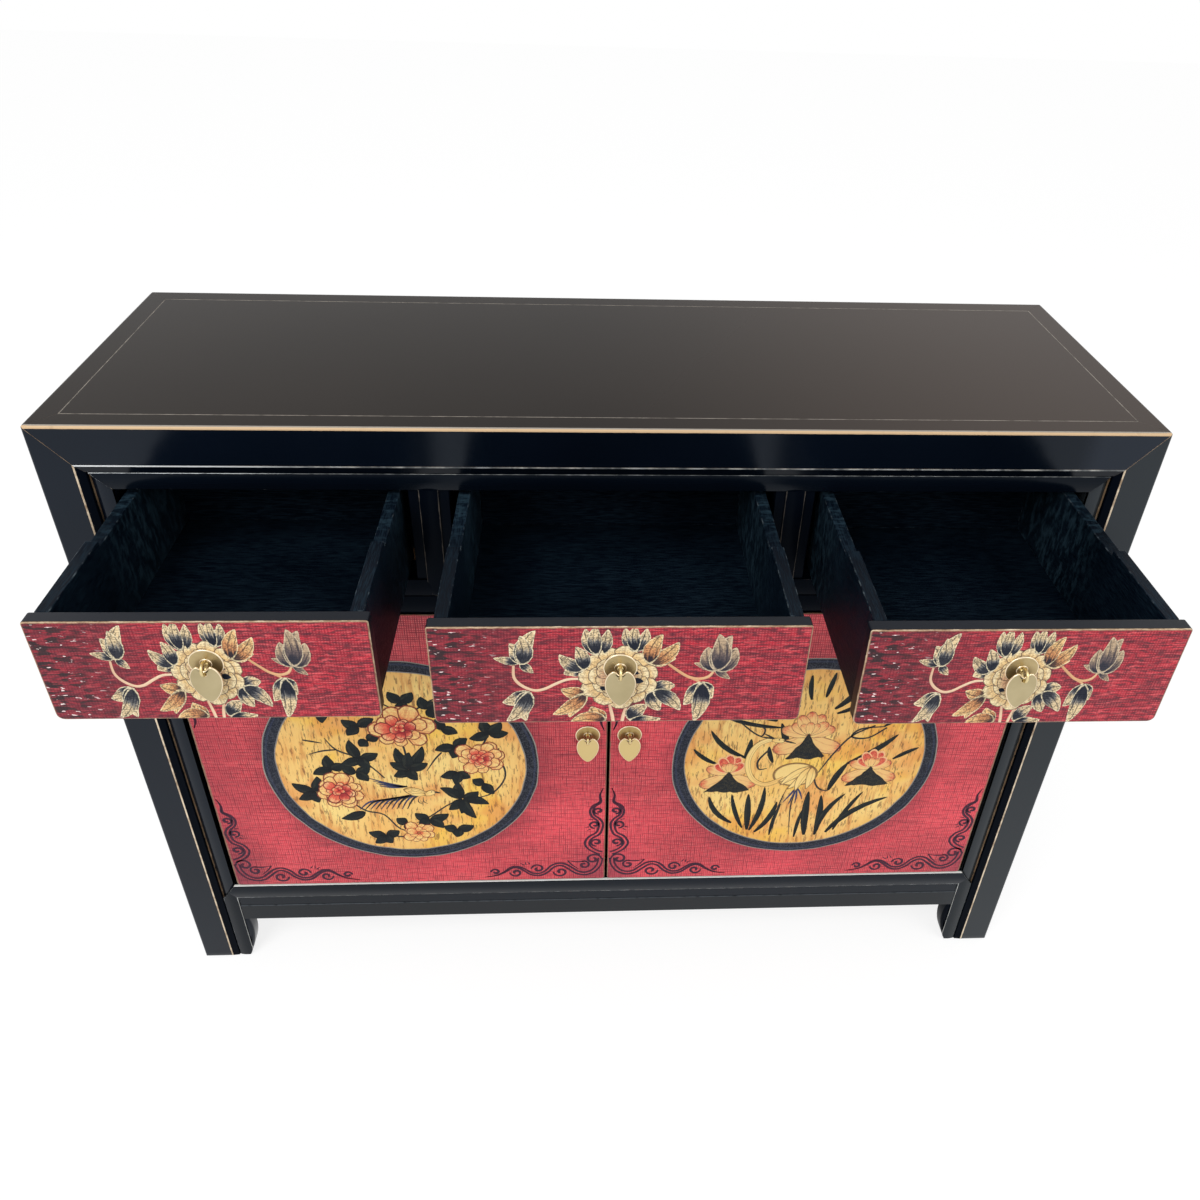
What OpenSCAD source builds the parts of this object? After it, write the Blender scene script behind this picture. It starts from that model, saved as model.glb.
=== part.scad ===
// Lacquered buffet cabinet: three drawers over two doors, on four hoof-footed legs.
// Millimetres, +Z up, front towards -Y. The origin is on the floor, under the middle of the case.

/* [Case] */
// Width over the legs
case_w = 1200; // [1100:10:1400]
// Depth over the legs
case_d = 385; // [365:5:450]
// Height to the top surface
case_h = 892; // [860:2:1000]

/* [Frame moulding] */
// Flat outer part of a leg's face
leg_flat = 40; // [34:1:46]
// Flat outer part of a top rail's face
rail_flat = 46; // [38:1:52]
// Sloped band beside the flat
band_w = 9; // [7:0.5:12]
// How far the band slopes back
band_d = 3.5; // [2:0.5:4]
// Groove between the band and the strip
groove_w = 1.5; // [1:0.5:2.5]
// Depth of the groove below the band
groove_d = 2; // [1:0.5:3]
// Rounded strip round the openings
strip_w = 19.5; // [16:0.5:22]
// How far the strip's edges lie behind the face
strip_d = 4.5; // [3:0.5:5]
// Height of the strip's rounded crown
strip_crown = 1.5; // [0.5:0.25:2]
// Thickness of rails from front to back
rail_t = 45; // [38:1:50]

/* [Top] */
// Width of the frame round the top panel
top_margin = 27.5; // [22:0.5:34]
// Thickness of the top panel
top_t = 15; // [12:0.5:18]
// Width of a batten under the top panel
batten_w = 40; // [30:1:50]
// Height of a batten under the top panel
batten_t = 20; // [15:1:25]

/* [Heights] */
// Height of the drawer openings
drawer_open_h = 119; // [105:1:125]
// Height of the rail between drawers and doors
mid_rail_h = 48; // [40:1:52]
// Plain lip under the two strips of that rail
mid_lip_h = 3; // [2:1:5]
// Height of the strip along the bottom rail
low_strip_h = 26; // [22:1:30]
// Height of the recessed band under that strip
waist_h = 20; // [12:1:24]
// Depth of the recessed band behind the face
waist_d = 6.5; // [5:0.5:8]
// Height of the apron
apron_h = 31; // [25:1:40]
// Thickness of the apron
apron_t = 22; // [16:1:26]
// Depth of the apron's face behind the legs
apron_d = 5.5; // [4:0.5:8]
// Clear height under the apron
foot_h = 83; // [70:1:100]

/* [Feet] */
// How far a hoof stands out beyond the leg at its widest place
hoof_out = 8; // [5:0.5:14]
// Height of the hoof's widest place
hoof_rise = 55; // [40:1:60]
// How far the hoof draws in at the floor
hoof_tuck = 13; // [9:1:20]
// How much less a hoof stands out at the apron than at its widest place
hoof_neck = 3.5; // [1:0.5:5]
// Thickness of a hoof from front to back
hoof_t = 20; // [14:1:30]
// Rounding at the outer bottom edge
toe_r = 6; // [3:1:10]

/* [Drawers] */
// Width of the middle drawer's opening
mid_open_w = 356; // [320:2:380]
// Width of a divider between drawers
divider_w = 44; // [38:1:50]
// Width of the raised bead on a divider
bead_w = 21; // [15:1:25]
// Depth of the bead's edges behind the face
bead_d = 4; // [3:0.5:4.5]
// How far a bead's foot laps down over the rail
bead_lap = 22; // [17:1:22]
// Gap at each side of a drawer's front
drawer_gap = 3.5; // [2:0.5:5]
// Gap above and below a drawer's front
drawer_gap_z = 1.5; // [1:0.5:3]
// Length of a drawer from front to back
drawer_l = 345; // [335:1:350]
// Thickness of a drawer's front
front_t = 15; // [12:0.5:18]
// Thickness of a drawer's sides
side_t = 13; // [10:0.5:15]
// Thickness of a drawer's back
drawer_back_t = 11; // [9:0.5:13]
// How far the front overhangs each side
overhang = 6; // [4:0.5:8]
// Full-height part of a drawer's side
side_step_l = 114; // [90:2:150]
// Drop of a drawer's side behind that
side_step = 6; // [3:0.5:9]
// Thickness of a drawer's bottom
bottom_t = 6; // [5:0.5:8]
// Depth of the grooves that hold a drawer's bottom
bottom_groove = 5; // [3:0.5:6]
// Wood left under that groove
bottom_lift = 5; // [3:0.5:7]
// How far the left drawer stands open
out_left = 226; // [150:1:250]
// How far the middle drawer stands open
out_middle = 236; // [150:1:250]
// How far the right drawer stands open
out_right = 243; // [150:1:250]
// Running gap under a drawer
run_gap = 0.3; // [0.2:0.1:0.5]

/* [Runners] */
// Thickness of a runner's bed
runner_t = 18; // [14:1:20]
// Height of the guide on a runner
guide_h = 14; // [10:1:18]
// Gap between a guide and a drawer's side
guide_gap = 1; // [0.5:0.5:2]
// How far a runner's bed reaches under a side
runner_in = 16; // [14:1:20]
// Thickness of a kicker over the drawers
kicker_t = 14; // [10:1:18]

/* [Doors] */
// Thickness of a door
door_t = 18; // [16:0.5:20]
// Gap between the two doors
door_gap = 3.5; // [2:0.5:5]
// Gap above and below a door
door_gap_z = 2; // [1.5:0.5:4]
// From the leg to the door's pivot
pivot_in = 13.5; // [13:0.5:16]
// Rounding along the door's heel
heel_r = 4; // [3:0.5:6]
// Radius of a pivot pin
pin_r = 4; // [3:0.25:5]
// Running clearance round a pivot pin
pin_play = 0.08; // [0.05:0.01:0.1]
// Pin length inside the door
pin_in = 22; // [15:1:30]
// Pin length inside the rail
pin_out = 12; // [8:1:16]
// Height of a batten on a door's back
ledge_h = 60; // [45:1:75]
// Thickness of a batten on a door's back
ledge_t = 15; // [12:1:18]
// From the door's upper and lower edges to its battens
ledge_in = 55; // [45:1:80]

/* [Panels] */
// Depth of a side panel behind the legs' faces
side_panel_d = 9; // [8:0.5:14]
// Thickness of a side panel
side_panel_t = 12; // [9:0.5:14]
// Thickness of the back panel
back_panel_t = 9; // [7:0.5:12]
// Depth of the back panel behind the legs' faces
back_panel_d = 9; // [8:0.5:14]
// Depth of the grooves that hold the panels
panel_groove = 6; // [4:0.5:9]
// Thickness of the cupboard's floor
floor_t = 12; // [10:0.5:15]
// Drop of the cupboard's floor below the rail's top
floor_drop = 4; // [3:0.5:6]

/* [Pulls] */
// Radius of a back plate
plate_r = 16; // [13:0.5:18]
// Thickness of a back plate
plate_t = 1.6; // [1:0.2:2.4]
// Radius of the eye, to the middle of its wire
eye_r = 6; // [5.5:0.25:7]
// Radius of the staple's wire
wire_r = 1.4; // [1.2:0.1:1.6]
// From the plate to the middle of the eye
eye_out = 7.2; // [6.8:0.2:9]
// Length of the staple's bent tails behind the wood
tail_l = 12; // [8:1:16]
// Width of a pendant
pendant_w = 29; // [26:1:34]
// Height of a pendant
pendant_h = 44; // [36:1:48]
// Depth of the notch in a pendant's top
notch_d = 7; // [4:0.5:8]
// Thickness of a pendant
pendant_t = 2.2; // [1.6:0.2:2.6]
// Clearance round the wire in a pendant's hole
pendant_play = 0.45; // [0.35:0.05:0.8]
// From the middle gap to the middle of a door's plate
door_pull_in = 27; // [22:1:40]
// Height of the doors' plates above the doors' middle
door_pull_up = 46; // [20:1:80]
// Height of a drawer's plate above the front's middle
drawer_pull_up = 11; // [4:1:14]

/* [Hidden] */

// Lacquers, bare wood and metals
black_lacquer = [0.09, 0.10, 0.12];
red_lacquer = [0.62, 0.12, 0.15];
bare_wood = [0.45, 0.33, 0.22];
brass = [0.72, 0.64, 0.42];
iron = [0.25, 0.24, 0.23];

// Steps along a rounded strip, an arc or half a pendant
strip_steps = 8;
arc_steps = 8;
pendant_steps = 36;
// Cutters reach this far past what they cut
past = 1;

// Frame sizes and heights
leg_w = leg_flat + band_w + groove_w + strip_w;
top_h = rail_flat + band_w + groove_w + strip_w;
front_y = -case_d / 2;
strip_at = leg_flat + band_w + groove_w;
inner_x = case_w / 2 - leg_w;
inner_y = case_d / 2 - leg_w;
open_top = case_h - top_h;
mid_rail_top = open_top - drawer_open_h;
mid_rail_low = mid_rail_top - mid_rail_h;
low_rail_h = low_strip_h + waist_h;
lap_reach = strip_w - groove_w / 2;
low_rail_low = foot_h + apron_h;
low_rail_top = low_rail_low + low_rail_h;
floor_top = low_rail_top - floor_drop;
back_panel_y = case_d / 2 - back_panel_d;
side_panel_x = case_w / 2 - side_panel_d;

// Drawer sizes: the middle opening is set, the two outer ones share the rest
divider_x = (mid_open_w + divider_w) / 2;
side_open_w = inner_x - mid_open_w / 2 - divider_w;
side_drawer_x = inner_x - side_open_w / 2;
side_front_w = side_open_w - 2 * drawer_gap;
mid_front_w = mid_open_w - 2 * drawer_gap;
front_h = drawer_open_h - 2 * drawer_gap_z;
front_low = mid_rail_top + drawer_gap_z;
front_face = front_y + strip_d;
bottom_low = front_low + bottom_lift;
bottom_top = bottom_low + bottom_t;
drawer_pull_z = front_low + front_h / 2 + drawer_pull_up;
runner_top = front_low - run_gap;
rear_rail_y = back_panel_y - back_panel_t - rail_t / 2;

// Door sizes
door_low = low_rail_top + door_gap_z;
door_h = mid_rail_low - low_rail_top - 2 * door_gap_z;
pivot_x = inner_x - pivot_in;
pivot_y = front_face + door_t / 2;
door_w = pivot_x + door_t / 2 - door_gap / 2;
door_pull_z = door_low + door_h / 2 + door_pull_up;
door_pull_x = door_pull_in;

// Pull sizes
eye_y = plate_t + eye_out;
hole_r = wire_r + pendant_play;

// A point list reversed, for walking back along an outline
function backwards(list) = [for (i = [len(list) - 1 : -1 : 0]) list[i]];

// A rounded strip as [along, depth] points between two places
function strip(from, to, depth) = [
    for (i = [0 : strip_steps])
        let (t = i / strip_steps)
        [from + (to - from) * t, depth - strip_crown * sin(180 * t)]
];

// The moulded face of a leg or a top rail as [along, depth] points, from the outer corner inwards
function moulded_face(flat) = concat(
    [
        [0, 0], [flat, 0], [flat + band_w, band_d],
        [flat + band_w, band_d + groove_d], [flat + band_w + groove_w, band_d + groove_d]
    ],
    strip(flat + band_w + groove_w, flat + band_w + groove_w + strip_w, strip_d)
);

// Points swapped from [along, depth] to [depth, along]
function swapped(list) = [for (p = list) [p[1], p[0]]];

// Inner edge of a leg seen square on: the hoof from the apron down to the floor
hoof_arc_r = (pow(hoof_rise, 2) + pow(hoof_tuck, 2)) / (2 * hoof_tuck);
hoof_sweep = asin(hoof_rise / hoof_arc_r);
hoof_wide = leg_w + hoof_out;
function hoof_edge() = concat(
    [for (i = [0 : arc_steps - 1])
        let (t = 1 - i / arc_steps)
        [hoof_wide - hoof_neck * (1 - cos(90 * t)), hoof_rise + (foot_h - hoof_rise) * t]],
    [for (i = [0 : arc_steps])
        let (a = hoof_sweep * i / arc_steps)
        [hoof_wide - hoof_arc_r * (1 - cos(a)), hoof_rise - hoof_arc_r * sin(a)]]
);
function toe_edge() = [
    for (i = [0 : arc_steps])
        let (a = 90 * i / arc_steps)
        [toe_r - toe_r * sin(a), toe_r - toe_r * cos(a)]
];

// A leg seen square on, as [from the outer side, height], with its mitre at the top
leg_outline = concat(
    [[0, case_h], [leg_flat, case_h - rail_flat], [leg_w, open_top], [leg_w, foot_h]],
    hoof_edge(), toe_edge()
);

// Repeats its child at the left and right, mirrored
module at_side(left) {
    if (left) children();
    else mirror([1, 0, 0]) children();
}

// Extrusion of an [x, z] outline along y
module along_y(from, to) {
    translate([0, to, 0]) rotate([90, 0, 0]) linear_extrude(to - from) children();
}

// Extrusion of a [y, z] outline along x
module along_x(from, to) {
    translate([from, 0, 0]) rotate([90, 0, 90]) linear_extrude(to - from) children();
}

// A leg whose outer corner stands at the origin, its faces running along +x and +y
module plain_leg(front) {
    reach = leg_w + hoof_out + past;
    faces = concat(
        front ? moulded_face(leg_flat) : [[0, 0], [leg_w, 0]],
        [[leg_w, leg_w]],
        backwards(swapped(moulded_face(leg_flat)))
    );
    intersection() {
        translate([0, 0, -past]) union() {
            linear_extrude(case_h + 2 * past) polygon([for (i = [0 : len(faces) - 2]) faces[i]]);
            translate([leg_w - past, waist_d, 0]) cube([reach - leg_w, hoof_t, foot_h + 2 * past]);
            translate([waist_d, leg_w - past, 0]) cube([hoof_t, reach - leg_w, foot_h + 2 * past]);
        }
        along_y(-past, reach) polygon(leg_outline);
        along_x(-past, reach) polygon(leg_outline);
        hollow = waist_d + hoof_t;
        difference() {
            translate([-past, -past, -past]) cube([reach + 2 * past, reach + 2 * past, case_h + 2 * past]);
            translate([hollow, hollow, -2 * past]) cube([reach, reach, foot_h + 2 * past]);
        }
    }
}

// The notches in the legs that take the mitred laps of a bottom rail's strip
module lap_notches(length) {
    half = length / 2;
    lap_low = low_rail_top - low_strip_h;
    along_y(-past, 2 * strip_d + band_w / 2) for (s = [-1, 1])
        polygon([[s * half, low_rail_top], [s * (half + lap_reach), lap_low], [s * half, lap_low]]);
}

// The laps that fill those notches, with the strip's rounded face
module strip_laps(length) {
    reach = length / 2 + lap_reach;
    lap_low = low_rail_top - low_strip_h;
    intersection() {
        along_x(-reach, reach) polygon(concat(
            swapped_z(backwards(strip(0, low_strip_h, strip_d)), lap_low),
            [[rail_t, lap_low], [rail_t, low_rail_top]]
        ));
        lap_notches(length);
    }
}

// Strip points as [depth, height] over a base height
function swapped_z(list, base) = [for (p = list) [p[1], base + p[0]]];

// A bottom rail between two legs: rounded strip, groove and recessed waist, front face towards -y
module bottom_rail(length) {
    lap_low = low_rail_top - low_strip_h;
    half = length / 2;
    along_x(-half, half) polygon(concat(
        swapped_z(backwards(strip(0, low_strip_h, strip_d)), lap_low),
        [
            [waist_d + groove_d, lap_low], [waist_d + groove_d, lap_low - groove_w],
            [waist_d, lap_low - groove_w], [waist_d, low_rail_low],
            [rail_t, low_rail_low], [rail_t, low_rail_top]
        ]
    ));
    strip_laps(length);
}

// An apron between two legs
module apron(length) {
    translate([-length / 2, apron_d, foot_h]) cube([length, apron_t, apron_h]);
}

// A top rail with mitred ends and a ledge for the panel, front face towards -y
module top_rail(length) {
    half = length / 2;
    shape = concat(
        [for (p = moulded_face(rail_flat)) [p[1], case_h - p[0]]],
        [[rail_t, open_top], [rail_t, case_h - top_t], [top_margin, case_h - top_t], [top_margin, case_h]]
    );
    intersection() {
        along_x(-half, half) polygon(shape);
        along_y(-past, rail_t + past) polygon([
            [-half, case_h], [half, case_h], [half - leg_flat, case_h - rail_flat],
            [half - leg_w, open_top], [leg_w - half, open_top], [leg_flat - half, case_h - rail_flat]
        ]);
        linear_extrude(case_h + past) polygon([
            [-half, 0], [half, 0], [half - leg_w, leg_w], [leg_w - half, leg_w]
        ]);
    }
}

// Places a front piece on one of the four sides, with its face on the case's outer plane
module facing(side) {
    if (side == "front") translate([0, -case_d / 2, 0]) children();
    if (side == "back") rotate([0, 0, 180]) translate([0, -case_d / 2, 0]) children();
    if (side == "left") rotate([0, 0, -90]) translate([0, -case_w / 2, 0]) children();
    if (side == "right") rotate([0, 0, 90]) translate([0, -case_w / 2, 0]) children();
}

// Panels as the grooves see them
module side_panel_blank(left) {
    at_side(left) translate([-side_panel_x, -inner_y - panel_groove, low_rail_top - panel_groove])
        cube([side_panel_t, 2 * (inner_y + panel_groove), open_top - low_rail_top + 2 * panel_groove]);
}

module back_panel_blank() {
    translate([-inner_x - panel_groove, back_panel_y - back_panel_t, low_rail_top - panel_groove])
        cube([2 * (inner_x + panel_groove), back_panel_t, open_top - low_rail_top + 2 * panel_groove]);
}

module floor_blank() {
    inset = rail_t - panel_groove;
    difference() {
        translate([inset - case_w / 2, inset - case_d / 2, floor_top - floor_t])
            cube([case_w - 2 * inset, case_d - 2 * inset, floor_t]);
        for (x = [-1, 1], y = [-1, 1])
            translate([x * case_w / 2, y * case_d / 2, case_h / 2])
                cube([2 * leg_w, 2 * leg_w, case_h + past], center = true);
    }
}

module panel_blanks() {
    side_panel_blank(true);
    side_panel_blank(false);
    back_panel_blank();
}

module leg(left, front) {
    color(black_lacquer) difference() {
        at_side(left) {
            if (front) translate([-case_w / 2, -case_d / 2, 0]) plain_leg(true);
            else mirror([0, 1, 0]) translate([-case_w / 2, -case_d / 2, 0]) plain_leg(false);
        }
        panel_blanks();
        if (front) facing("front") lap_notches(2 * inner_x);
        facing(left ? "left" : "right") lap_notches(2 * inner_y);
    }
}

module top_rail_on(side) {
    color(black_lacquer) difference() {
        facing(side) top_rail(side == "front" || side == "back" ? case_w : case_d);
        panel_blanks();
    }
}

module bottom_rail_on(side) {
    color(black_lacquer) difference() {
        facing(side) {
            if (side == "front") bottom_rail(2 * inner_x);
            else if (side == "back")
                translate([-inner_x, 0, low_rail_low]) cube([2 * inner_x, rail_t, low_rail_h]);
            else bottom_rail(2 * inner_y);
        }
        panel_blanks();
        floor_blank();
        if (side == "front") pin_holes();
    }
}

module apron_on(side) {
    color(black_lacquer) facing(side) apron(side == "front" ? 2 * inner_x : 2 * inner_y);
}

module top_panel() {
    color(black_lacquer) translate([top_margin - case_w / 2, top_margin - case_d / 2, case_h - top_t])
        cube([case_w - 2 * top_margin, case_d - 2 * top_margin, top_t]);
}

// Battens glued under the top panel, between the front and back rails
module top_battens() {
    reach = case_d - 2 * rail_t;
    color(bare_wood) for (x = [-inner_x * 0.7, 0, inner_x * 0.7])
        translate([x - batten_w / 2, -reach / 2, case_h - top_t - batten_t])
            cube([batten_w, reach, batten_t]);
}

// Kickers keep a drawer from tipping when it is pulled out
module drawer_kickers() {
    width = divider_w + 2 * (drawer_gap + overhang + side_t);
    color(bare_wood) for (x = [-divider_x, divider_x])
        translate([x - width / 2, rail_t - case_d / 2, open_top])
            cube([width, case_d - 2 * rail_t, kicker_t]);
}

// The front part of a divider's bead, which laps down over the rail below
module bead_foot(x) {
    y = front_y + bead_d;
    depth = strip_d + band_w / 2;
    along_y(y, front_y + depth) {
        translate([x - bead_w / 2, mid_rail_top - bead_lap + bead_w / 2])
            square([bead_w, bead_lap - bead_w / 2 + past]);
        translate([x, mid_rail_top - bead_lap + bead_w / 2]) circle(d = bead_w, $fn = 48);
    }
}

module divider(left) {
    step = (divider_w - bead_w) / 2;
    color(black_lacquer) {
        at_side(left) {
            translate([-divider_x - divider_w / 2, front_y, mid_rail_top]) linear_extrude(drawer_open_h)
                polygon(concat(
                    [[0, rail_t], [0, waist_d], [step, waist_d]],
                    strip(step, step + bead_w, bead_d),
                    [[divider_w - step, waist_d], [divider_w, waist_d], [divider_w, rail_t]]
                ));
            bead_foot(-divider_x);
        }
    }
}

// The rail between drawers and doors: two rounded strips and a plain lip
module mid_rail() {
    half_h = (mid_rail_h - mid_lip_h - groove_w) / 2;
    low = mid_rail_low + mid_lip_h;
    color(black_lacquer) difference() {
        translate([0, front_y, 0]) along_x(-inner_x, inner_x) polygon(concat(
            swapped_z(strip(0, half_h, strip_d), low),
            [[strip_d + groove_d, low + half_h], [strip_d + groove_d, low + half_h + groove_w]],
            swapped_z(strip(0, half_h, strip_d), low + half_h + groove_w),
            [[rail_t, mid_rail_top], [rail_t, mid_rail_low], [waist_d, mid_rail_low], [waist_d, low]]
        ));
        bead_foot(-divider_x);
        bead_foot(divider_x);
        pin_holes();
    }
}

// The rail at the back that carries the runners' rear ends
module mid_rail_back() {
    color(bare_wood) translate([-inner_x, rear_rail_y, mid_rail_low])
        cube([2 * inner_x, rail_t / 2, runner_top - runner_t - mid_rail_low]);
}

module door_stop() {
    stop_y = front_face + door_t;
    color(bare_wood) translate([-1.5 * door_pull_in, stop_y, mid_rail_low - ledge_t])
        cube([3 * door_pull_in, front_y + rail_t - stop_y, ledge_t]);
}

module side_panel(left) {
    color(black_lacquer) side_panel_blank(left);
}

module back_panel() {
    color(bare_wood) back_panel_blank();
}

module cupboard_floor() {
    color(bare_wood) floor_blank();
}

// A runner's bed from the front rail to the back panel, resting on the rear rail
module runner_bed(from, to) {
    start = front_y + rail_t;
    translate([from, start, runner_top - runner_t])
        cube([to - from, back_panel_y - back_panel_t - start, runner_t]);
}

module runner_guide(from, to) {
    start = front_y + rail_t;
    translate([from, start, runner_top])
        cube([to - from, back_panel_y - back_panel_t - start, guide_h]);
}

module outer_runner(left) {
    side_out = side_drawer_x + side_front_w / 2 - overhang;
    color(bare_wood) at_side(left) {
        runner_bed(-inner_x, runner_in - side_out);
        runner_guide(-inner_x, -side_out - guide_gap);
    }
}

module inner_runner(left) {
    outer = -divider_x - divider_w / 2 - drawer_gap - overhang;
    inner = -divider_x + divider_w / 2 + drawer_gap + overhang;
    color(bare_wood) at_side(left) {
        runner_bed(outer - runner_in, inner + runner_in);
        runner_guide(outer + guide_gap, inner - guide_gap);
    }
}

// Where a drawer stands: its middle and how far it is pulled out
function drawer_x(which) = which == "left" ? -side_drawer_x : which == "right" ? side_drawer_x : 0;
function drawer_out(which) = which == "left" ? out_left : which == "right" ? out_right : out_middle;
function drawer_w(which) = which == "middle" ? mid_front_w : side_front_w;
function box_w(which) = drawer_w(which) - 2 * overhang;

module at_drawer(which) {
    translate([drawer_x(which), front_face - drawer_out(which), 0]) children();
}

module bottom_blank(which) {
    width = box_w(which) - 2 * side_t + 2 * bottom_groove;
    translate([-width / 2, front_t - bottom_groove, bottom_low])
        cube([width, drawer_l - front_t + bottom_groove, bottom_t]);
}

module drawer_front(which) {
    width = drawer_w(which);
    color(red_lacquer) at_drawer(which) difference() {
        translate([-width / 2, 0, front_low]) cube([width, front_t, front_h]);
        bottom_blank(which);
        staple_hole(drawer_pull_z, front_t);
    }
}

module drawer_sides(which) {
    side_h = front_h;
    color(black_lacquer) at_drawer(which) difference() {
        for (x = [-box_w(which) / 2, box_w(which) / 2 - side_t])
            along_x(x, x + side_t) translate([front_t, front_low]) polygon([
                [0, 0], [drawer_l - front_t, 0], [drawer_l - front_t, side_h - side_step],
                [side_step_l, side_h - side_step], [side_step_l, side_h], [0, side_h]
            ]);
        bottom_blank(which);
    }
}

module drawer_back(which) {
    width = box_w(which) - 2 * side_t;
    color(black_lacquer) at_drawer(which)
        translate([-width / 2, drawer_l - drawer_back_t, bottom_top])
            cube([width, drawer_back_t, front_h - 2 * side_step - bottom_lift - bottom_t]);
}

module drawer_bottom(which) {
    color(black_lacquer) at_drawer(which) bottom_blank(which);
}

// A door pivot's axis stands behind the door's outer edge
module at_pivot(left) {
    translate([left ? -pivot_x : pivot_x, pivot_y, 0]) children();
}

module pin_holes() {
    for (left = [true, false]) at_pivot(left) {
        translate([0, 0, mid_rail_low - past]) cylinder(r = pin_r + pin_play, h = pin_out + 2 * past, $fn = 48);
        translate([0, 0, low_rail_top - pin_out - past])
            cylinder(r = pin_r + pin_play, h = pin_out + 2 * past, $fn = 48);
    }
}

module pins(left) {
    length = pin_in + door_gap_z + pin_out;
    color(iron) at_pivot(left) {
        translate([0, 0, mid_rail_low + pin_out - length]) cylinder(r = pin_r, h = length, $fn = 48);
        translate([0, 0, low_rail_top - pin_out]) cylinder(r = pin_r, h = length, $fn = 48);
    }
}

module pin_sockets(left) {
    at_pivot(left) {
        translate([0, 0, door_low + door_h - pin_in]) cylinder(r = pin_r, h = pin_in + past, $fn = 48);
        translate([0, 0, door_low - past]) cylinder(r = pin_r, h = pin_in + past, $fn = 48);
    }
}

// A door as a plain board, rounded along the heel that turns beside the leg
module door_panel(left) {
    heel = pivot_x + door_t / 2;
    color(red_lacquer) difference() {
        at_side(left) translate([0, front_face, door_low]) linear_extrude(door_h) union() {
            translate([-heel + heel_r, 0]) square([door_w - heel_r, door_t]);
            translate([-heel, heel_r]) square([2 * heel_r, door_t - 2 * heel_r]);
            for (y = [heel_r, door_t - heel_r]) translate([-heel + heel_r, y]) circle(heel_r, $fn = 48);
        }
        pin_sockets(left);
        at_side(left) translate([-door_pull_x, front_face, 0]) staple_hole(door_pull_z, door_t);
    }
}

module door_ledges(left) {
    start = pivot_x - ledge_in / 2;
    color(bare_wood) at_side(left)
        for (z = [door_low + ledge_in, door_low + door_h - ledge_in - ledge_h])
            translate([-start, front_face + door_t, z])
                cube([start - 2 * door_pull_in, ledge_t, ledge_h]);
}

// Pulls: the origin is the middle of the plate's back, on the wood, with the front towards -y
module staple_hole(z, board) {
    translate([0, -past, z]) rotate([-90, 0, 0])
        cylinder(r = wire_r * 2, h = board + 2 * past, $fn = 48);
}

module pull_fitting(board) {
    shank_r = wire_r * 2;
    boss_r = 2 * shank_r;
    translate([0, -eye_y, 0]) rotate([0, 90, 0])
        rotate_extrude($fn = 96) translate([eye_r, 0]) circle(wire_r, $fn = 32);
    translate([0, eye_r - eye_y, 0]) rotate([-90, 0, 0])
        cylinder(r = shank_r, h = eye_y - eye_r + board, $fn = 48);
    translate([-tail_l, board, -shank_r]) cube([2 * tail_l, wire_r, 2 * shank_r]);
    difference() {
        union() {
            translate([0, -plate_t, 0]) rotate([-90, 0, 0]) cylinder(r = plate_r, h = plate_t, $fn = 96);
            translate([0, -plate_t - wire_r / 2, 0]) rotate([-90, 0, 0])
                cylinder(r = boss_r, h = wire_r / 2 + plate_t, $fn = 64);
        }
        translate([0, -eye_y, 0]) rotate([-90, 0, 0])
            cylinder(r = shank_r, h = eye_y + past, $fn = 48);
    }
}

// A peach-shaped outline: round shoulders, a notch at the top and a point below
function pendant_edge(side) = [
    for (i = [0 : pendant_steps])
        let (a = 180 * i / pendant_steps, full = sin(a), drop = cos(a), taper = drop > 0 ? 1 : 1.25)
        [
            side * pendant_w / 2 * pow(full, taper) * (1 + 0.24 * drop) / 1.027,
            pendant_h * (drop - 1) / 2 - notch_d * pow(max(0, drop), 36)
        ]
];

module pendant() {
    top = -eye_r + hole_r + wire_r;
    difference() {
        translate([0, -eye_y, top + notch_d]) along_y(-pendant_t / 2, pendant_t / 2)
            polygon(concat(pendant_edge(1), backwards(pendant_edge(-1))));
        translate([0, -eye_y - pendant_t, -eye_r]) rotate([-90, 0, 0])
            cylinder(r = hole_r, h = 2 * pendant_t, $fn = 48);
    }
}

module at_drawer_pull(which) {
    at_drawer(which) translate([0, 0, drawer_pull_z]) children();
}

module at_door_pull(left) {
    translate([left ? -door_pull_x : door_pull_x, front_face, door_pull_z]) children();
}

leg(true, true);  // leg_front_left
leg(false, true);  // leg_front_right
leg(true, false);  // leg_back_left
leg(false, false);  // leg_back_right
top_rail_on("front");  // top_rail_front
top_rail_on("back");  // top_rail_back
top_rail_on("left");  // top_rail_left
top_rail_on("right");  // top_rail_right
top_panel();
top_battens();
drawer_kickers();
mid_rail();
mid_rail_back();
divider(true);  // divider_left
divider(false);  // divider_right
bottom_rail_on("front");  // bottom_rail_front
bottom_rail_on("back");  // bottom_rail_back
bottom_rail_on("left");  // bottom_rail_left
bottom_rail_on("right");  // bottom_rail_right
apron_on("front");  // apron_front
apron_on("left");  // apron_left
apron_on("right");  // apron_right
side_panel(true);  // side_panel_left
side_panel(false);  // side_panel_right
back_panel();
cupboard_floor();
door_stop();
outer_runner(true);  // runner_left
outer_runner(false);  // runner_right
inner_runner(true);  // runner_inner_left
inner_runner(false);  // runner_inner_right
drawer_front("left");  // drawer_left_front
drawer_sides("left");  // drawer_left_sides
drawer_back("left");  // drawer_left_back
drawer_bottom("left");  // drawer_left_bottom
drawer_front("middle");  // drawer_middle_front
drawer_sides("middle");  // drawer_middle_sides
drawer_back("middle");  // drawer_middle_back
drawer_bottom("middle");  // drawer_middle_bottom
drawer_front("right");  // drawer_right_front
drawer_sides("right");  // drawer_right_sides
drawer_back("right");  // drawer_right_back
drawer_bottom("right");  // drawer_right_bottom
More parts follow.
